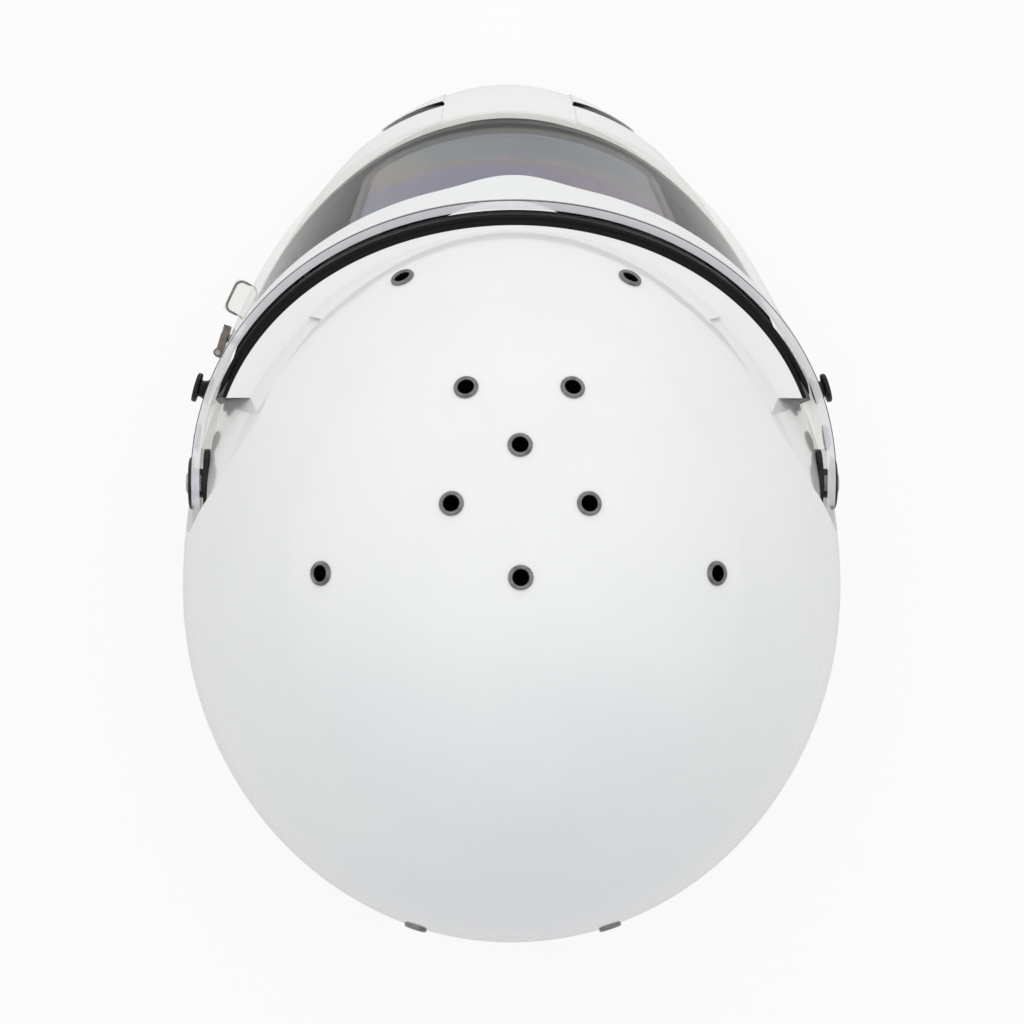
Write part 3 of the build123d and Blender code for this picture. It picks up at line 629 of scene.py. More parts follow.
@dataclass(frozen=True)
class BeadFoam(Finish):
    """Moulded bead foam, its beads pressed flat against each other."""

    name: str = "liner_bead_foam"
    colour: Colour = (0.018, 0.018, 0.02)
    light: Colour = (0.05, 0.05, 0.052)
    bead: float = 3.4

    def shader(self, graph: Graph) -> Wire:
        """Builds the shader.

        Args:
            graph: The material's tree.

        Returns:
            The shader.
        """
        scale = 1.0 / (self.bead * MM)
        seams = graph.cells(scale, "DISTANCE_TO_EDGE").above(0.07, 0.06)
        shade = graph.noise(300.0, 2.0)
        return graph.principled({
            "Base Color": graph.tint(seams * shade, self.colour, self.light),
            "Roughness": 0.62,
            "Normal": graph.bump(seams, 0.22, 0.8),
        })


@dataclass(frozen=True)
class StudioFloor(Finish):
    """Pale floor that the camera sees as white and that keeps the soft shadow."""

    name: str = "studio_floor"
    colour: Colour = (0.80, 0.80, 0.80)
    speck: Colour = (0.78, 0.78, 0.78)
    lift: float = 0.86

    def shader(self, graph: Graph) -> Wire:
        """Builds the shader.

        Args:
            graph: The material's tree.

        Returns:
            The shader.
        """
        grain = graph.noise(40.0, 3.0)
        matt = graph.principled({
            "Base Color": graph.tint(grain * 0.15, self.colour, self.speck), "Roughness": 0.7,
        })
        white = graph.node("ShaderNodeEmission", {}, {"Color": (*WHITE, 1.0)})
        seen = graph.node("ShaderNodeLightPath", output="Is Camera Ray")
        through = graph.node("ShaderNodeLightPath", output="Is Transmission Ray")
        share = (seen + through) * self.lift
        return graph.node("ShaderNodeMixShader", {}, {0: share, 1: matt, 2: white})


# ---------------------------------------------------------------- mesh helpers


def placed(name: str, data: bpy.types.ID) -> bpy.types.Object:
    """Puts an object in the scene.

    Args:
        name: Name of the object.
        data: Mesh, light or camera that it shows.

    Returns:
        The object.
    """
    made = bpy.data.objects.new(name, data)
    bpy.context.scene.collection.objects.link(made)
    return made


def piece(
    name: str, points: Iterable[Sequence[float]], faces: Iterable[Sequence[int]],
    material: Material, body: Body, slot: str, replaced: Sequence[str] = (),
    sharp: Optional[float] = None,
) -> None:
    """Makes a mesh piece that rides on a body.

    Args:
        name: Name of the piece.
        points: Vertices in metres, in the helmet's frame.
        faces: Vertex numbers of each face.
        material: Finish.
        body: Body that the piece rides on.
        slot: Material slot of the record; not used.
        replaced: CAD nodes that the piece stands for.
        sharp: Angle between faces, in degrees, from which an edge looks sharp.
    """
    mesh = bpy.data.meshes.new(name)
    mesh.from_pydata([tuple(p) for p in points], [], [tuple(f) for f in faces])
    mesh.validate()
    tidy = bmesh.new()
    tidy.from_mesh(mesh)
    bmesh.ops.remove_doubles(tidy, verts=tidy.verts, dist=1e-6)
    bmesh.ops.recalc_face_normals(tidy, faces=tidy.faces)
    tidy.to_mesh(mesh)
    tidy.free()
    mesh.polygons.foreach_set("use_smooth", [True] * len(mesh.polygons))
    if sharp is not None:
        mesh.set_sharp_from_angle(angle=math.radians(sharp))
    made = placed(name, mesh)
    mesh.materials.append(material)
    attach(made, body.value)
    if replaced:
        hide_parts(*replaced)
    log.info("%s: %d faces on %s", name, len(mesh.polygons), body.value)


def settle(made: bpy.types.Object) -> None:
    """Applies every modifier of a mesh object.

    Args:
        made: Mesh object.
    """
    bpy.context.view_layer.update()
    graph = bpy.context.evaluated_depsgraph_get()
    mesh = bpy.data.meshes.new_from_object(made.evaluated_get(graph))
    made.modifiers.clear()
    old, made.data = made.data, mesh
    bpy.data.meshes.remove(old)
    mesh.name = made.name


def shell_parts(node: str) -> list[np.ndarray]:
    """Vertices of each loose part of a CAD node.

    Args:
        node: Name of the node.

    Returns:
        One array of points for each part.
    """
    mesh = bmesh.new()
    mesh.from_mesh(NODES[node].data)
    bmesh.ops.remove_doubles(mesh, verts=mesh.verts, dist=1e-6)
    found, seen = [], set()
    for start in mesh.verts:
        if start.index in seen:
            continue
        queue, group = [start], []
        seen.add(start.index)
        while queue:
            vertex = queue.pop()
            group.append(tuple(vertex.co))
            for edge in vertex.link_edges:
                other = edge.other_vert(vertex)
                if other.index not in seen:
                    seen.add(other.index)
                    queue.append(other)
        found.append(np.array(group))
    mesh.free()
    return found


def lofted(rings: Sequence[Sequence[Sequence[float]]], closed: bool = False) -> Mesh:
    """Skin over a run of rings that have as many points each.

    Args:
        rings: Points of each ring in order.
        closed: Whether the last ring joins the first; otherwise both ends get a cap.

    Returns:
        Points and faces.
    """
    points = [point for ring in rings for point in ring]
    count, last = len(rings[0]), len(rings) - 1
    faces = []
    for step in range(last + closed):
        here, after = step * count, (step + 1) % len(rings) * count
        for k in range(count):
            n = (k + 1) % count
            faces.append((here + k, here + n, after + n, after + k))
    if not closed:
        faces.append(tuple(range(count)))
        faces.append(tuple(reversed(range(last * count, (last + 1) * count))))
    return points, faces


def turned(profile: Section, segments: int, seat: Matrix) -> Mesh:
    """Closed ring turned about its seat's Z.

    Args:
        profile: Radius and height of each point of the ring's section, in millimetres.
        segments: Steps round the axis.
        seat: Placement of the axis.

    Returns:
        Points in metres and faces.
    """
    rings = []
    for step in range(segments):
        angle = 2 * math.pi * step / segments
        rings.append([
            seat @ (Vector((radius * math.cos(angle), radius * math.sin(angle), height)) * MM)
            for radius, height in profile
        ])
    return lofted(rings, closed=True)


def seat_matrix(origin: Vector, axis: Vector) -> Matrix:
    """Placement at an origin in metres with its Z along an axis."""
    turn = axis.normalized().to_track_quat("Z", "Y").to_matrix().to_4x4()
    return Matrix.Translation(origin) @ turn


def joined(parts: Iterable[Mesh]) -> Mesh:
    """Several meshes as one.

    Args:
        parts: Points and faces of each.

    Returns:
        Points and faces of all.
    """
    points: list = []
    faces: list = []
    for some_points, some_faces in parts:
        start = len(points)
        points += list(some_points)
        faces += [tuple(i + start for i in face) for face in some_faces]
    return points, faces


def tube(line: Sequence[Vector], radius: float, sides: int, taper: int = 3) -> Mesh:
    """Round bar along a line, with drawn-in closed ends.

    Args:
        line: Points in metres.
        radius: Radius in metres.
        sides: Steps round the bar.
        taper: Points over which each end draws in.

    Returns:
        Points and faces.
    """
    rings = []
    last = len(line) - 1
    for k, here in enumerate(line):
        ahead = (line[min(k + 1, last)] - line[max(k - 1, 0)]).normalized()
        first = ahead.cross(Vector((0.0, 0.0, 1.0)))
        if first.length < 1e-4:
            first = ahead.cross(Vector((1.0, 0.0, 0.0)))
        first.normalize()
        second = ahead.cross(first)
        from_end = min(k, last - k)
        share = (min(from_end, taper) + TIP_SHARE) / (taper + TIP_SHARE)
        size = radius * math.sin(math.pi / 2 * share)
        turns = (2 * math.pi * step / sides for step in range(sides))
        rings.append([
            here + (first * math.cos(a) + second * math.sin(a)) * size for a in turns
        ])
    return lofted(rings)


# ---------------------------------------------------------------- sub-assemblies


@dataclass
class Studio:
    """Floor, soft light and the camera straight above the helmet."""

    camera_height: float = 1450.0
    camera_across: float = 30.0
    camera_along: float = 4.0
    aim_across: float = -2.7
    aim_along: float = 4.4
    focal_pixels: float = 3450.0
    image_pixels: float = 1024.0
    sensor: float = 36.0
    clip: tuple[float, float] = (0.05, 60.0)
    floor_half: float = 12000.0
    tent_strength: float = 0.86
    tent_front: Colour = (1.0, 1.0, 0.99)
    tent_rear: Colour = (0.66, 0.68, 0.73)
    tent_fade: tuple[float, float] = (0.25, 0.62)

    def build(self) -> None:
        """Makes the studio."""
        self._camera()
        self._floor()
        self._lights()
        scene = bpy.context.scene
        scene.view_settings.view_transform = "Standard"
        scene.world = self._tent()

    def _tent(self) -> bpy.types.World:
        """Soft white tent, a little darker and bluer behind the helmet.

        Returns:
            The world.
        """
        graph = Graph("studio_tent", world=True)
        along = graph.part(graph.node("ShaderNodeTexCoord", output="Generated"), "Y")
        first, last = self.tent_fade
        fade = along.above((first + last) / 2, (last - first) / 2)
        colour = graph.tint(fade, self.tent_front, self.tent_rear)
        return graph.finish(graph.node("ShaderNodeBackground", {}, {
            "Color": colour, "Strength": self.tent_strength,
        }))

    def _camera(self) -> None:
        """Places the camera."""
        data = bpy.data.cameras.new("camera")
        data.sensor_width = self.sensor
        data.lens = self.focal_pixels / self.image_pixels * self.sensor
        data.clip_start, data.clip_end = self.clip
        camera = placed("camera", data)
        eye = Vector((self.camera_across, self.camera_along, self.camera_height)) * MM
        back = (eye - Vector((self.aim_across, self.aim_along, 0.0)) * MM).normalized()
        right = Vector((0.0, -1.0, 0.0)).cross(back).normalized()
        up = back.cross(right)
        turn = Matrix((right, up, back)).transposed().to_4x4()
        camera.matrix_world = Matrix.Translation(eye) @ turn
        bpy.context.scene.camera = camera

    def _floor(self) -> None:
        """Makes the floor."""
        half = self.floor_half * MM
        corners = [(x * half, y * half, 0) for x, y in ((-1, -1), (1, -1), (1, 1), (-1, 1))]
        mesh = bpy.data.meshes.new("floor")
        mesh.from_pydata(corners, [], [(0, 1, 2, 3)])
        floor = placed("floor", mesh)
        mesh.materials.append(StudioFloor().material())

    def _lights(self) -> None:
        """Hangs the softboxes."""
        for name, place, size, power in (
            ("overhead_softbox", (0.0, -0.4, 2.3), (2.4, 2.0), 15.0),
            ("front_softbox", (0.0, -2.8, 1.4), (2.4, 1.2), 8.0),
        ):
            data = bpy.data.lights.new(name, "AREA")
            data.shape = "RECTANGLE"
            data.size, data.size_y = size
            data.energy = power
            light = placed(name, data)
            light.location = place
            light.visible_glossy = False
            aim = Vector((0.0, 0.0, 0.12)) - Vector(place)
            light.rotation_euler = aim.to_track_quat("-Z", "Y").to_euler()


def built(look: Finish) -> Material:
    """Field of a dataclass that holds a finish's material."""
    return field(default_factory=look.material)


def pair(*names: str) -> tuple[str, ...]:
    """Left and right node of each name."""
    return tuple(f"{side.word}_{name}" for name in names for side in Side)


@dataclass
class Finishes:
    """All finishes of the helmet, made once."""

    shell: Material = built(Gelcoat())
    rubber: Material = built(Moulding(
        "black_rubber", (0.006, 0.006, 0.007), 0.3, 700.0, 0.02, (0.02, 0.02, 0.02), 0.14))
    trim: Material = built(Moulding(
        "trim_rubber", (0.014, 0.014, 0.015), 0.5, 800.0, 0.04))
    plastic: Material = built(Moulding(
        "black_moulding", (0.012, 0.012, 0.013), 0.38, 1200.0, 0.03))
    nickel: Material = built(Metal(
        "dark_nickel", (0.30, 0.285, 0.28), (0.16, 0.15, 0.15), 0.2))
    steel: Material = built(Metal(
        "plain_steel", (0.56, 0.56, 0.55), (0.38, 0.37, 0.36), 0.26))
    grey_metal: Material = built(Metal(
        "hard_coated_metal", (0.27, 0.235, 0.215), (0.17, 0.15, 0.14), 0.36))
    clear: Material = built(ClearPlastic(
        "clear_polycarbonate", milky_edge=0.65))
    seal: Material = built(ClearPlastic(
        "soft_clear_seal", (0.78, 0.78, 0.78), (0.8, 0.8, 0.8), 0.08, 0.4, 0.18))
    film: Material = built(ClearPlastic(
        "coated_inner_lens", (0.70, 0.70, 0.78), (0.62, 0.62, 0.72), 0.30, 0.6, 0.05, True))
    # Grey tint of the tab's rim beads: painted shade for the dark outline that the thick clear rim
    # shows, on a real rounded rim
    tab_rim: Material = built(ClearPlastic(
        "clear_tab_rim", (0.66, 0.66, 0.64), (0.8, 0.8, 0.8), 0.06, 0.5, 0.08))
    strip: Material = built(StripFilm())
    surround: Material = built(PortSurround())
    lining: Material = built(Cloth(
        "lining_knit", (0.012, 0.012, 0.014), (0.04, 0.04, 0.044)))
    collar: Material = built(Cloth(
        "collar_cloth", (0.014, 0.014, 0.016), (0.05, 0.05, 0.054), 0.8))
    webbing: Material = built(Webbing())
    thread: Material = built(Moulding(
        "sewing_thread", (0.05, 0.05, 0.053), 0.6, 3000.0, 0.05, (0.09, 0.09, 0.09)))
    foam: Material = built(BeadFoam())
    mesh: Material = built(Moulding(
        "vent_mesh", (0.008, 0.008, 0.009), 0.6, 1500.0, 0.1))


@dataclass
class CarriedNodes:
    """CAD nodes that keep their own shape and get a finish."""

    finishes: Finishes

    def dress(self) -> None:
        """Gives each node its finish."""
        f = self.finishes
        for material, names in (
            (f.shell, ("outer_shell",)),
            (f.foam, ("eps_liner", "chin_liner")),
            (f.surround, ("eyeport_gasket",)),
            (f.trim, ("edge_trim",)),
            (f.mesh, pair("chin_vent_mesh")),
            (f.plastic, pair("pivot_plate", "pivot_ring", "tearoff_post", "arm_button")),
            (f.plastic, ("cheek_pad_studs",)),
            (f.steel, pair("pivot_screw", "pivot_nut", "strap_rivet", "anchor_insert")),
            (f.steel, ("latch_post", "latch_pin", "d_rings")),
            (f.nickel, ("top_vent_eyelets", "rear_vent_eyelets")),
            (f.grey_metal, ("latch_bracket", "shield_latch")),
            (f.clear, ("shield",)),
            (f.strip, ("sun_strip",)),
            (f.seal, ("inner_lens_seal",)),
            (f.film, ("inner_lens",)),
            (f.lining, ("crown_pad", *pair("cheek_pad"))),
            (f.collar, ("neck_roll",)),
            (f.webbing, pair("strap")),
        ):
            for name in names:
                NODES[name].data.materials.clear()
                NODES[name].data.materials.append(material)
        log.info("carried nodes dressed")


@dataclass
class VentEyelets:
    """Rolled eyelets in the shell's vent holes."""

    finishes: Finishes
    hole: float = 2.7
    flange: float = 4.45
    barrel: float = 3.3
    crest: float = 1.2
    reach: float = 3.5
    roundness: float = 0.8
    segments: int = 64

    def _profile(self) -> Section:
        """Section of the rolled rim.

        Returns:
            Radius and height of each point, from the barrel's foot round to the hole.
        """
        roll = []
        middle = (self.hole + self.flange) / 2
        half = (self.flange - self.hole) / 2
        for angle in (math.pi * step / ARC_STEPS for step in range(ARC_STEPS + 1)):
            height = self.crest * math.sin(angle) ** self.roundness
            roll.append((middle + half * math.cos(angle), height))
        return [(self.barrel, -self.reach), (self.barrel, 0.0)] + roll + [(self.hole, -self.reach)]

    def build(self) -> None:
        """Makes every eyelet."""
        for node in ("top_vent_eyelets", "rear_vent_eyelets"):
            rings = []
            for points in shell_parts(node):
                middle = points.mean(0)
                spread = np.cov((points - middle).T)
                values, vectors = np.linalg.eigh(spread)
                odd = 0 if values[1] - values[0] > values[2] - values[1] else 2
                axis = Vector(vectors[:, odd])
                if axis.dot(Vector(middle) - HEAD_CENTRE) < 0:
                    axis.negate()
                heights = (points - middle) @ np.array(axis)
                top = Vector(middle) + axis * (float(heights.max()) - self.crest * MM)
                rings.append(turned(self._profile(), self.segments, seat_matrix(top, axis)))
            piece(
                node.replace("vent_", "rolled_"), *joined(rings), self.finishes.nickel,
                Body.SHELL, "dark_nickel", (node,), 50,
            )


@dataclass
class GasketBead:
    """Two soft lobes side by side along the brow, between the shell and the shield."""

    finishes: Finishes
    form: ShieldForm
    brow_up: float = 175.0
    temple_up: float = 166.5
    brow_along: float = -99.9
    rear_ahead: float = 31.5
    sunk: float = 0.55
    end_gap: float = 1.5
    lobes: tuple = ((4.9, 1.0), (6.9, 1.05))
    samples: int = 90
    sides: int = 16

    def _line(self, depth: float) -> list[Vector]:
        """Centre line of a lobe from side to side.

        Args:
            depth: Distance behind the shield's outer face.

        Returns:
            Points in millimetres.
        """
        rear = self.form.pivot_along - self.rear_ahead
        line = []
        for step in range(2 * self.samples + 1):
            angle = (step / self.samples - 1) * math.pi / 2
            ahead = (self.form.reach(self.brow_up) - depth) * math.cos(angle)
            along = self.form.pivot_along - ahead
            share = min(1.0, max(0.0, (along - self.brow_along) / (rear - self.brow_along)))
            up = self.brow_up + (self.temple_up - self.brow_up) * share - self.sunk
            ahead = (self.form.reach(up) - depth) * math.cos(angle)
            if ahead > self.rear_ahead + self.end_gap:
                across = (self.form.arm_out - depth) * math.sin(angle)
                line.append(Vector((across, self.form.pivot_along - ahead, up)))
        return line

    def build(self) -> None:
        """Makes the lobes."""
        tubes = [
            tube([p * MM for p in self._line(depth)], radius * MM, self.sides)
            for depth, radius in self.lobes
        ]
        piece("gasket_lobes", *joined(tubes), self.finishes.rubber, Body.SHELL, "black_rubber")


@dataclass(frozen=True)
class Seam:
    """Flat plane in which a pad is sewn through or joined."""

    point: Point
    normal: Point

    def distance(self, here: Vector) -> float:
        """Distance in metres of a place from the plane."""
        return abs((here - Vector(self.point) * MM).dot(Vector(self.normal)))

    def loops(self, mesh: bpy.types.Mesh) -> list[list[tuple[Vector, Vector]]]:
        """Closed lines in which the plane cuts a mesh.

        Args:
            mesh: Closed mesh.

        Returns:
            Place and outward direction of each point, loop by loop.
        """
        work = bmesh.new()
        work.from_mesh(mesh)
        everything = [*work.verts, *work.edges, *work.faces]
        cut = bmesh.ops.bisect_plane(
            work, geom=everything, dist=1e-7, plane_co=Vector(self.point) * MM, plane_no=self.normal
        )
        work.normal_update()
        work.verts.index_update()
        near: dict[int, list] = {}
        for edge in cut["geom_cut"]:
            if isinstance(edge, bmesh.types.BMEdge):
                for vertex in edge.verts:
                    near.setdefault(vertex.index, []).append(edge.other_vert(vertex))
        work.verts.ensure_lookup_table()
        found, seen = [], set()
        for start in sorted(near):
            if start in seen:
                continue
            here, loop = work.verts[start], []
            while here is not None:
                seen.add(here.index)
                loop.append((here.co.copy(), here.normal.copy()))
                here = next((v for v in near[here.index] if v.index not in seen), None)
            found.append(loop)
        work.free()
        return found


@dataclass
class Padding:
    """Soft lining: crown pad, cheek pads and neck roll, swollen by a short simulation."""

    finishes: Finishes
    voxel: float = 4.0
    crown_voxel: float = 2.6
    pressure: float = 4.0
    frames: int = 20
    cap: float = 1.6
    shrink: float = 1.0
    soften: int = 12
    groove_depth: float = 1.1
    groove_width: float = 2.4
    stitch_pitch: float = 3.2
    stitch_length: float = 2.3
    stitch_radius: float = 0.32
    stitch_steps: int = 3
    least_facing: float = 0.25
    rim_share: float = 0.3

    def build(self) -> None:
        """Makes every pad."""
        f = self.finishes
        for node, material, slot, fill, seams in (
            ("crown_pad", f.lining, "lining", 0.5, (
                Seam((-27.0, 0.0, 0.0), (1.0, 0.0, 0.0)), Seam((27.0, 0.0, 0.0), (1.0, 0.0, 0.0)),
                Seam((0.0, 12.0, 0.0), (0.0, 1.0, 0.0)), Seam((0.0, 62.0, 0.0), (0.0, 1.0, 0.0)),
            )),
            ("left_cheek_pad", f.lining, "lining", 0.75, (self._rim_seam("left_cheek_pad"),)),
            ("right_cheek_pad", f.lining, "lining", 0.75, (self._rim_seam("right_cheek_pad"),)),
            ("neck_roll", f.collar, "neck_cloth", 0.7, (self._belt_seam("neck_roll"),)),
        ):
            pad = self._swollen(node, material)
            for seam in seams:
                self._press(pad, seam)
            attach(pad, Body.SHELL.value)
            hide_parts(node)
            log.info("%s: %d faces", pad.name, len(pad.data.polygons))
            stitches = joined(stitch for seam in seams for stitch in self._stitches(pad, seam))
            piece(node + "_stitches", *stitches, f.thread, Body.SHELL, slot)

    def _rim_seam(self, node: str) -> Seam:
        """Seam round a cheek pad, where its face meets its side.

        Args:
            node: The pad's node.

        Returns:
            The seam.
        """
        low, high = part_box(node)
        inner, outer = sorted((low[0], high[0]), key=abs)
        seat = inner + self.rim_share * (outer - inner)
        return Seam((seat / MM, 0.0, 0.0), (1.0, 0.0, 0.0))

    @staticmethod
    def _belt_seam(node: str) -> Seam:
        """Seam round the middle height of a roll."""
        low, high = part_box(node)
        return Seam((0.0, 0.0, (low[2] + high[2]) / 2 / MM), (0.0, 0.0, 1.0))

    def _press(self, pad: bpy.types.Object, seam: Seam) -> None:
        """Presses a sewn channel into a pad.

        Args:
            pad: Pad to press.
            seam: Where the thread pulls the cloth in.
        """
        normals = [v.normal.copy() for v in pad.data.vertices]
        for vertex, normal in zip(pad.data.vertices, normals):
            share = seam.distance(vertex.co) / (self.groove_width * MM)
            vertex.co -= normal * (self.groove_depth * MM * math.exp(-share * share))
        pad.data.update()

    def _stitches(self, pad: bpy.types.Object, seam: Seam) -> list[Mesh]:
        """Thread that lies in a sewn channel, where the cloth faces the wearer.

        Args:
            pad: Pressed pad.
            seam: Seam to sew.

        Returns:
            Points and faces of each stitch.
        """
        made = []
        for loop in seam.loops(pad.data):
            carried = 0.0
            for (a, out), (b, _) in zip(loop, loop[1:] + loop[:1]):
                run = (b - a).length
                carried += run
                inward = out.dot((HEAD_CENTRE - a).normalized())
                if carried < self.stitch_pitch * MM or run < 1e-6 or inward < self.least_facing:
                    continue
                carried = 0.0
                steps = self.stitch_steps
                step = (b - a).normalized() * (self.stitch_length * MM / (2 * steps))
                line = [a + step * k for k in range(-steps, steps + 1)]
                made.append(tube(line, self.stitch_radius * MM, 6, 2))
        return made

    def _swollen(self, node: str, material: Material) -> bpy.types.Object:
        """Pad that fills its node's space like foam in cloth.

        Args:
            node: CAD node that the pad stands for.
            material: Finish.

        Returns:
            The pad.
        """
        pad = placed(node + "_cover", NODES[node].data.copy())
        pad.data.materials.clear()
        remesh = pad.modifiers.new("remesh", "REMESH")
        remesh.mode = "VOXEL"
        remesh.voxel_size = (self.crown_voxel if node == "crown_pad" else self.voxel) * MM
        soften = pad.modifiers.new("soften", "SMOOTH")
        soften.factor, soften.iterations = 0.5, self.soften
        settle(pad)
        mesh = pad.data
        for vertex, normal in zip(mesh.vertices, [v.normal.copy() for v in mesh.vertices]):
            vertex.co -= normal * self.shrink * MM
        start = np.array([v.co for v in mesh.vertices])
        self._inflate(pad)
        moved = np.array([v.co for v in pad.data.vertices]) - start
        reach = np.linalg.norm(moved, axis=1, keepdims=True)
        capped = start + moved * np.minimum(1.0, self.cap * MM / np.maximum(reach, 1e-9))
        pad.data.vertices.foreach_set("co", capped.ravel())
        pad.modifiers.new("refine", "SUBSURF").levels = 1
        settle(pad)
        pad.data.polygons.foreach_set("use_smooth", [True] * len(pad.data.polygons))
        pad.data.materials.clear()
        pad.data.materials.append(material)
        return pad

    def _inflate(self, pad: bpy.types.Object) -> None:
        """Runs the cloth under a little pressure and applies it.

        Args:
            pad: Pad to swell.
        """
        cloth = pad.modifiers.new("swell", "CLOTH")
        cloth.settings.use_pressure = True
        cloth.settings.uniform_pressure_force = self.pressure
        cloth.settings.effector_weights.gravity = 0.0
        cloth.settings.quality = 4
        scene = bpy.context.scene
        for frame_number in range(1, self.frames + 1):
            scene.frame_set(frame_number)
        settle(pad)
        scene.frame_set(1)


@dataclass
class ChinStrap:
    """Two webbings that meet in a pair of rings under the jaw."""

    finishes: Finishes
    rivet_along: float = 5.0
    width: float = 25.0
    thickness: float = 1.8
    hang: tuple = ((113.0, 64.0), (113.0, 44.0), (101.0, 13.0), (90.0, 5.0))
    end_rise: float = 12.0
    low: float = 5.0
    bore_gap: float = 0.1
    ring_plate: float = 3.0
    ring_bar: float = 4.0
    ring_bar_across: float = 30.0
    ring_bow_across: float = 12.0
    rib: float = 0.22
    ribs: int = 5
    edge: float = 0.9
    edge_share: float = 0.35
    steps_across: int = 24
    pitch: float = 1.2

    def _fold_top(self) -> float:
        """Height of the run that lies on the rings.

        Returns:
            The height.
        """
        fold_gap = self.thickness / 2 + self.bore_gap
        ring_low = self.low + fold_gap
        return ring_low + 2 * self.ring_plate + self.bore_gap + fold_gap

    def _route(self, side: Side) -> tuple[list, list]:
        """Path of one strap, seen from the front.

        Args:
            side: Side of the helmet.

        Returns:
            Corners of the path, and the radius at each inner one.
        """
        top = self._fold_top()
        radius = (top - self.low) / 2 - self.bore_gap
        if side is Side.LEFT:
            fold = self.ring_bar_across - self.ring_bar - radius
            ends = [(fold, self.low), (fold, top), (self.ring_bar_across + self.width, top)]
            bends = [radius, radius]
        else:
            rise = (self.ring_bow_across + self.ring_bar_across - self.ring_bar - radius) / 2
            ends = [(rise, self.low), (rise, top), (-self.width, top)]
            bends = [self.thickness, self.thickness]
        start = [(side.value * x, z) for x, z in self.hang]
        return start + ends, [self.width, self.end_rise, self.end_rise] + bends

    @staticmethod
    def _rounded(corners: list, bends: list) -> list[Vector]:
        """Polyline with each inner corner rounded by an arc.

        Args:
            corners: Corner points.
            bends: Radius at each inner corner.

        Returns:
            Points along the rounded line, in its own plane.
        """
        line = [Vector(corners[0])]
        for k, radius in enumerate(bends):
            before, here, after = (Vector(corners[k + i]) for i in range(3))
            back, ahead = (before - here).normalized(), (after - here).normalized()
            half = back.angle(ahead) / 2
            reach = radius / math.tan(half)
            centre = here + (back + ahead).normalized() * (radius / math.sin(half))
            start, end = here + back * reach - centre, here + ahead * reach - centre
            sweep = start.angle(end)
            for share in (step / ARC_STEPS for step in range(ARC_STEPS + 1)):
                a = math.sin((1 - share) * sweep) / math.sin(sweep)
                b = math.sin(share * sweep) / math.sin(sweep)
                line.append(centre + start * a + end * b)
        line.append(Vector(corners[-1]))
        return line

    def build(self) -> None:
        """Makes both straps."""
        for side in Side:
            corners, bends = self._route(side)
            band = self._band(self._even(self._rounded(corners, bends)))
            piece(
                f"{side.word}_webbing", *band, self.finishes.webbing, Body.STRAP, "webbing",
                (f"{side.word}_strap",),
            )

    def _even(self, line: list[Vector]) -> list[Vector]:
        """Adds points so that no run is longer than the pitch.

        Args:
            line: Line in the plane across the helmet.

        Returns:
            The same line with more points.
        """
        out = [line[0]]
        for a, b in zip(line, line[1:]):
            parts = max(1, math.ceil((b - a).length / self.pitch))
            out += [a.lerp(b, k / parts) for k in range(1, parts + 1)]
        return out

    def _band(self, line: list[Vector]) -> Mesh:
        """Webbing with ribs along its length and thin sewn edges.

        Args:
            line: Middle line in the plane across the helmet, in millimetres.

        Returns:
            Points in metres and faces.
        """
        section = []
        half = self.width / 2
        for k in range(self.steps_across + 1):
            y = -half + self.width * k / self.steps_across
            edge = min(1.0, (half - abs(y)) / self.edge + self.edge_share)
            turn = 2 * math.pi * self.ribs * k / self.steps_across
            ridge = self.rib * (0.5 - 0.5 * math.cos(turn))
            section.append((y, (self.thickness / 2 - ridge) * edge))
        section += [(y, -t) for y, t in reversed(section)]
        rings = []
        for k, here in enumerate(line):
            ahead = (line[min(k + 1, len(line) - 1)] - line[max(k - 1, 0)]).normalized()
            out = Vector((ahead.y, -ahead.x))
            spots = ((y, here + out * t) for y, t in section)
            rings.append([Vector((p.x, self.rivet_along + y, p.y)) * MM for y, p in spots])
        return lofted(rings)


@dataclass
class StripBulge:
    """Part of the white film that dips lower at the middle of the brow."""

    finishes: Finishes
    form: ShieldForm
    half: float = 31.0
    dip: float = 8.3
    front_up: float = 153.0
    front_along: float = -156.07
    rise: float = 0.01755
    skin: float = 0.3
    bond: float = 0.02
    dip_shape: float = 1.15
    columns: int = 96
    rows: int = 10

    def _edge(self, across: float) -> float:
        """Height of the plain strip's lower edge.

        Args:
            across: Distance from the middle plane.

        Returns:
            The height.
        """
        up = self.front_up
        for _ in range(3):
            along = self.form.spot(across, up, 0.0).y
            up = self.front_up + self.rise * (along - self.front_along)
        return up

    def build(self) -> None:
        """Makes the dipping film."""
        rings = []
        for column in range(self.columns + 1):
            share = 2 * column / self.columns - 1
            across = self.half * share
            edge = self._edge(across)
            drop = self.bond + self.dip * (0.5 + 0.5 * math.cos(math.pi * share)) ** self.dip_shape
            rows = [edge + self.bond - drop * row / self.rows for row in range(self.rows + 1)]
            rings.append([
                self.form.spot(across, up, inset) * MM
                for inset, ups in ((-self.skin, rows), (-self.bond, rows[::-1])) for up in ups
            ])
        piece(
            "strip_bulge", *lofted(rings), self.finishes.strip, Body.SHIELD, "white_strip", sharp=40
        )


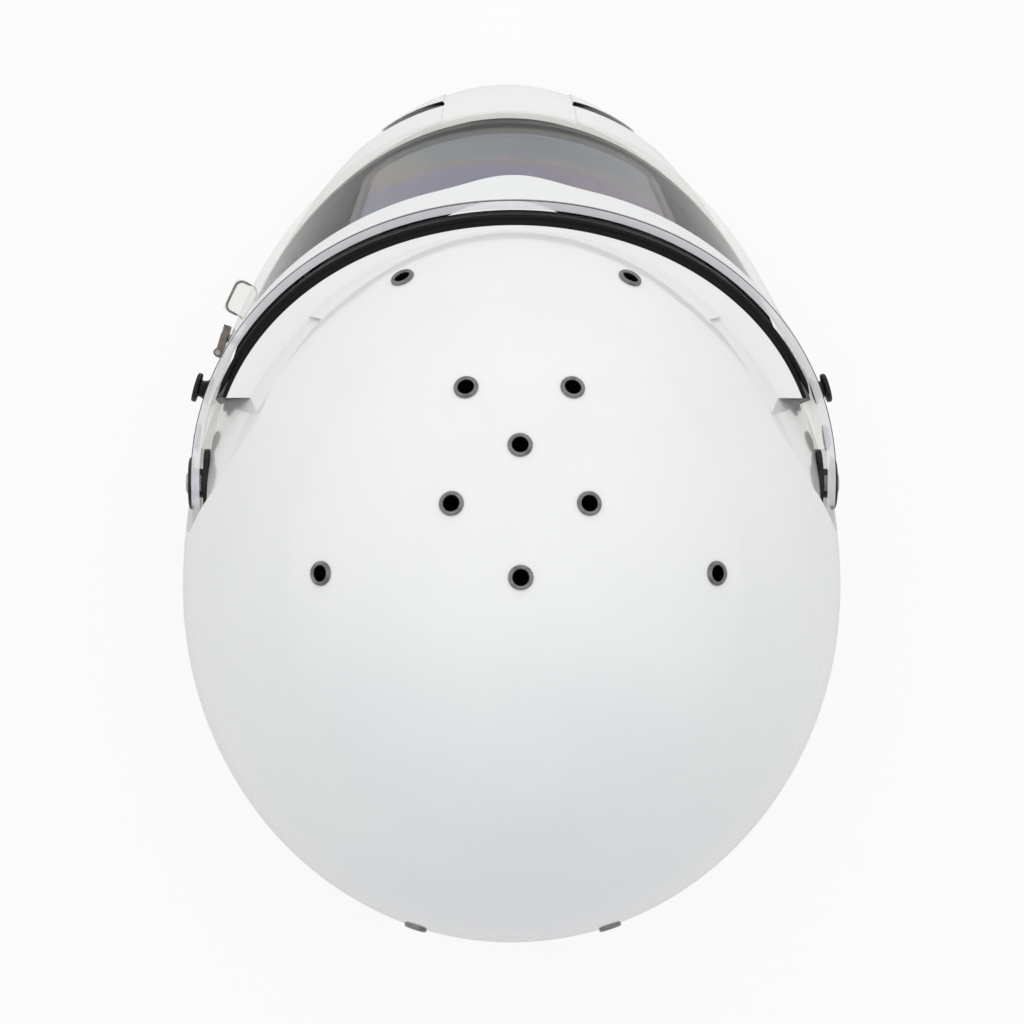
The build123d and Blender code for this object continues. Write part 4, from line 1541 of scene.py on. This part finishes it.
@dataclass
class LiftTabRim:
    """Rounded beads along the top and the bottom of the clear lift tab, tinted grey as painted
    shade for the dark outline of its thick clear rim.
    """

    finishes: Finishes
    form: ShieldForm
    place: tuple[float, float] = (73.0, 77.0)
    length: float = 14.0
    reach: float = 6.6
    round: float = 2.8
    level: float = 1.15
    bead: float = 0.5
    root: float = 0.1
    steps: int = 8

    def _outline(self) -> Section:
        """Line of a bead along the tab's three free sides.

        Returns:
            Along and outward length of each point.
        """
        half, bend = self.length / 2 - self.bead, self.reach - self.bead - self.round
        line = [(-half, self.root), (-half, bend / 2)]
        for middle, start in ((-half + self.round, math.pi), (half - self.round, math.pi / 2)):
            for angle in (start - math.pi / 2 * k / self.steps for k in range(self.steps + 1)):
                along = middle + self.round * math.cos(angle)
                line.append((along, bend + self.round * math.sin(angle)))
        return line + [(half, bend / 2), (half, self.root)]

    def build(self) -> None:
        """Makes both beads."""
        seat = self.form.seat(*self.place, Side.LEFT)
        beads = []
        for level in (self.level, -self.level):
            line = [seat @ (Vector((x, level, z)) * MM) for x, z in self._outline()]
            beads.append(tube(line, self.bead * MM, 12, 1))
        piece("lift_tab_rim", *joined(beads), self.finishes.tab_rim, Body.SHIELD, "clear_shield")


@dataclass
class PivotHardware:
    """Ring and screw that hold each arm of the shield."""

    finishes: Finishes
    form: ShieldForm
    bore_radius: float = 2.65
    ring_radius: float = 10.0
    well_radius: float = 4.6
    shank_length: float = 14.0
    screw_radius: float = 4.0
    socket_radius: float = 1.45
    socket_depth: float = 1.1
    segments: int = 96

    def build(self) -> None:
        """Makes both sides."""
        for side in Side:
            inner, outer = self._span(f"{side.word}_pivot_ring")
            head = self._span(f"{side.word}_pivot_screw")[1]
            along, up = self.form.pivot_along * MM, self.form.pivot_up * MM
            seat = seat_matrix(
                Vector((side.value * inner, along, up)), Vector((side.value, 0.0, 0.0))
            )
            for name, section, material, slot in (
                ("ring", self._ring((outer - inner) / MM), self.finishes.plastic, "black_plastic"),
                ("screw", self._screw((head - inner) / MM), self.finishes.steel, "steel"),
            ):
                piece(
                    f"{side.word}_{name}", *turned(section, self.segments, seat), material,
                    Body.SHELL, slot, (f"{side.word}_pivot_{name}",), 42,
                )

    @staticmethod
    def _span(node: str) -> tuple[float, float]:
        """Reach of a node on one side of the helmet.

        Args:
            node: Name of the node.

        Returns:
            Nearest and farthest distance from the middle plane, in metres.
        """
        low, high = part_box(node)
        near, far = sorted((abs(low[0]), abs(high[0])))
        return near, far

    def _ring(self, rise: float) -> Section:
        """Section of the ring, with a rounded rim, a groove and a well for the screw."""
        bore, radius, well = self.bore_radius, self.ring_radius, self.well_radius
        return [
            (bore, 0.0), (radius, 0.0), (radius, 0.35 * rise), (radius - 0.15, 0.65 * rise),
            (radius - 0.5, 0.88 * rise), (radius - 1.1, rise), (7.9, rise), (7.7, rise - 0.35),
            (7.2, rise - 0.35), (7.0, rise), (well + 0.5, rise), (well + 0.1, rise - 0.15),
            (well, rise - 0.4), (well, 0.35 * rise), (bore, 0.35 * rise),
        ]

    def _screw(self, head: float) -> Section:
        """Section of the screw: shank, domed head and round socket."""
        radius, socket, foot = self.screw_radius, self.socket_radius, -self.shank_length
        return [
            (0.0, foot), (2.2, foot), (2.5, foot + 0.4), (2.5, 0.0), (2.5, 0.55), (radius, 0.6),
            (radius, 0.7 * head), (radius - 0.2, 0.88 * head), (radius - 0.8, 0.97 * head),
            (socket + 0.7, head), (socket + 0.15, head), (socket, head - 0.15),
            (socket, head - self.socket_depth), (0.0, head - self.socket_depth - 0.3),
        ]


@dataclass
class ArmFittings:
    """Tear-off posts and low buttons on the shield's arms."""

    finishes: Finishes
    form: ShieldForm
    post_place: tuple[float, float] = (35.5, 124.0)
    button_place: tuple[float, float] = (17.5, 130.0)
    root: float = 0.3
    segments: int = 72

    def build(self) -> None:
        """Makes both sides."""
        for side in Side:
            for name, place, section in (
                ("tearoff_post", self.post_place, self._post()),
                ("arm_button", self.button_place, self._button()),
            ):
                seat = self.form.seat(*place, side)
                node = f"{side.word}_{name}"
                piece(
                    node + "_turned", *turned(section, self.segments, seat), self.finishes.plastic,
                    Body.SHIELD, "black_plastic", (node,), 42,
                )

    def _post(self) -> Section:
        """Section of a post: flared foot, waist and a dished flange."""
        return [
            (0.0, -self.root), (5.2, -self.root), (5.2, 0.25), (4.95, 0.55), (4.3, 1.0), (3.7, 1.7),
            (3.3, 2.6), (3.2, 3.4), (3.3, 3.75), (3.7, 4.0), (5.2, 4.05), (5.5, 4.2), (5.65, 4.5),
            (5.65, 5.4), (5.5, 5.75), (5.15, 5.95), (4.4, 6.0), (3.9, 5.9), (3.5, 5.7), (2.4, 5.6),
            (1.4, 5.6), (1.2, 5.45), (0.0, 5.4),
        ]

    def _button(self) -> Section:
        """Section of a button: low dome, ring groove and a small tip."""
        return [
            (0.0, -self.root), (5.0, -self.root), (5.0, 0.7), (4.9, 1.05), (4.6, 1.35), (4.1, 1.5),
            (3.2, 1.5), (3.05, 1.35), (2.7, 1.35), (2.55, 1.5), (1.25, 1.5), (1.05, 1.6),
            (0.85, 1.95), (0.6, 2.08), (0.0, 2.1),
        ]


def main() -> None:
    """Builds the helmet's looks in order."""
    logging.basicConfig(level=logging.INFO, format="%(message)s")
    Studio().build()
    finishes = Finishes()
    CarriedNodes(finishes).dress()
    VentEyelets(finishes).build()
    form = ShieldForm()
    GasketBead(finishes, form).build()
    StripBulge(finishes, form).build()
    LiftTabRim(finishes, form).build()
    PivotHardware(finishes, form).build()
    ArmFittings(finishes, form).build()
    Padding(finishes).build()
    ChinStrap(finishes).build()


if __name__ == "__main__":
    main()
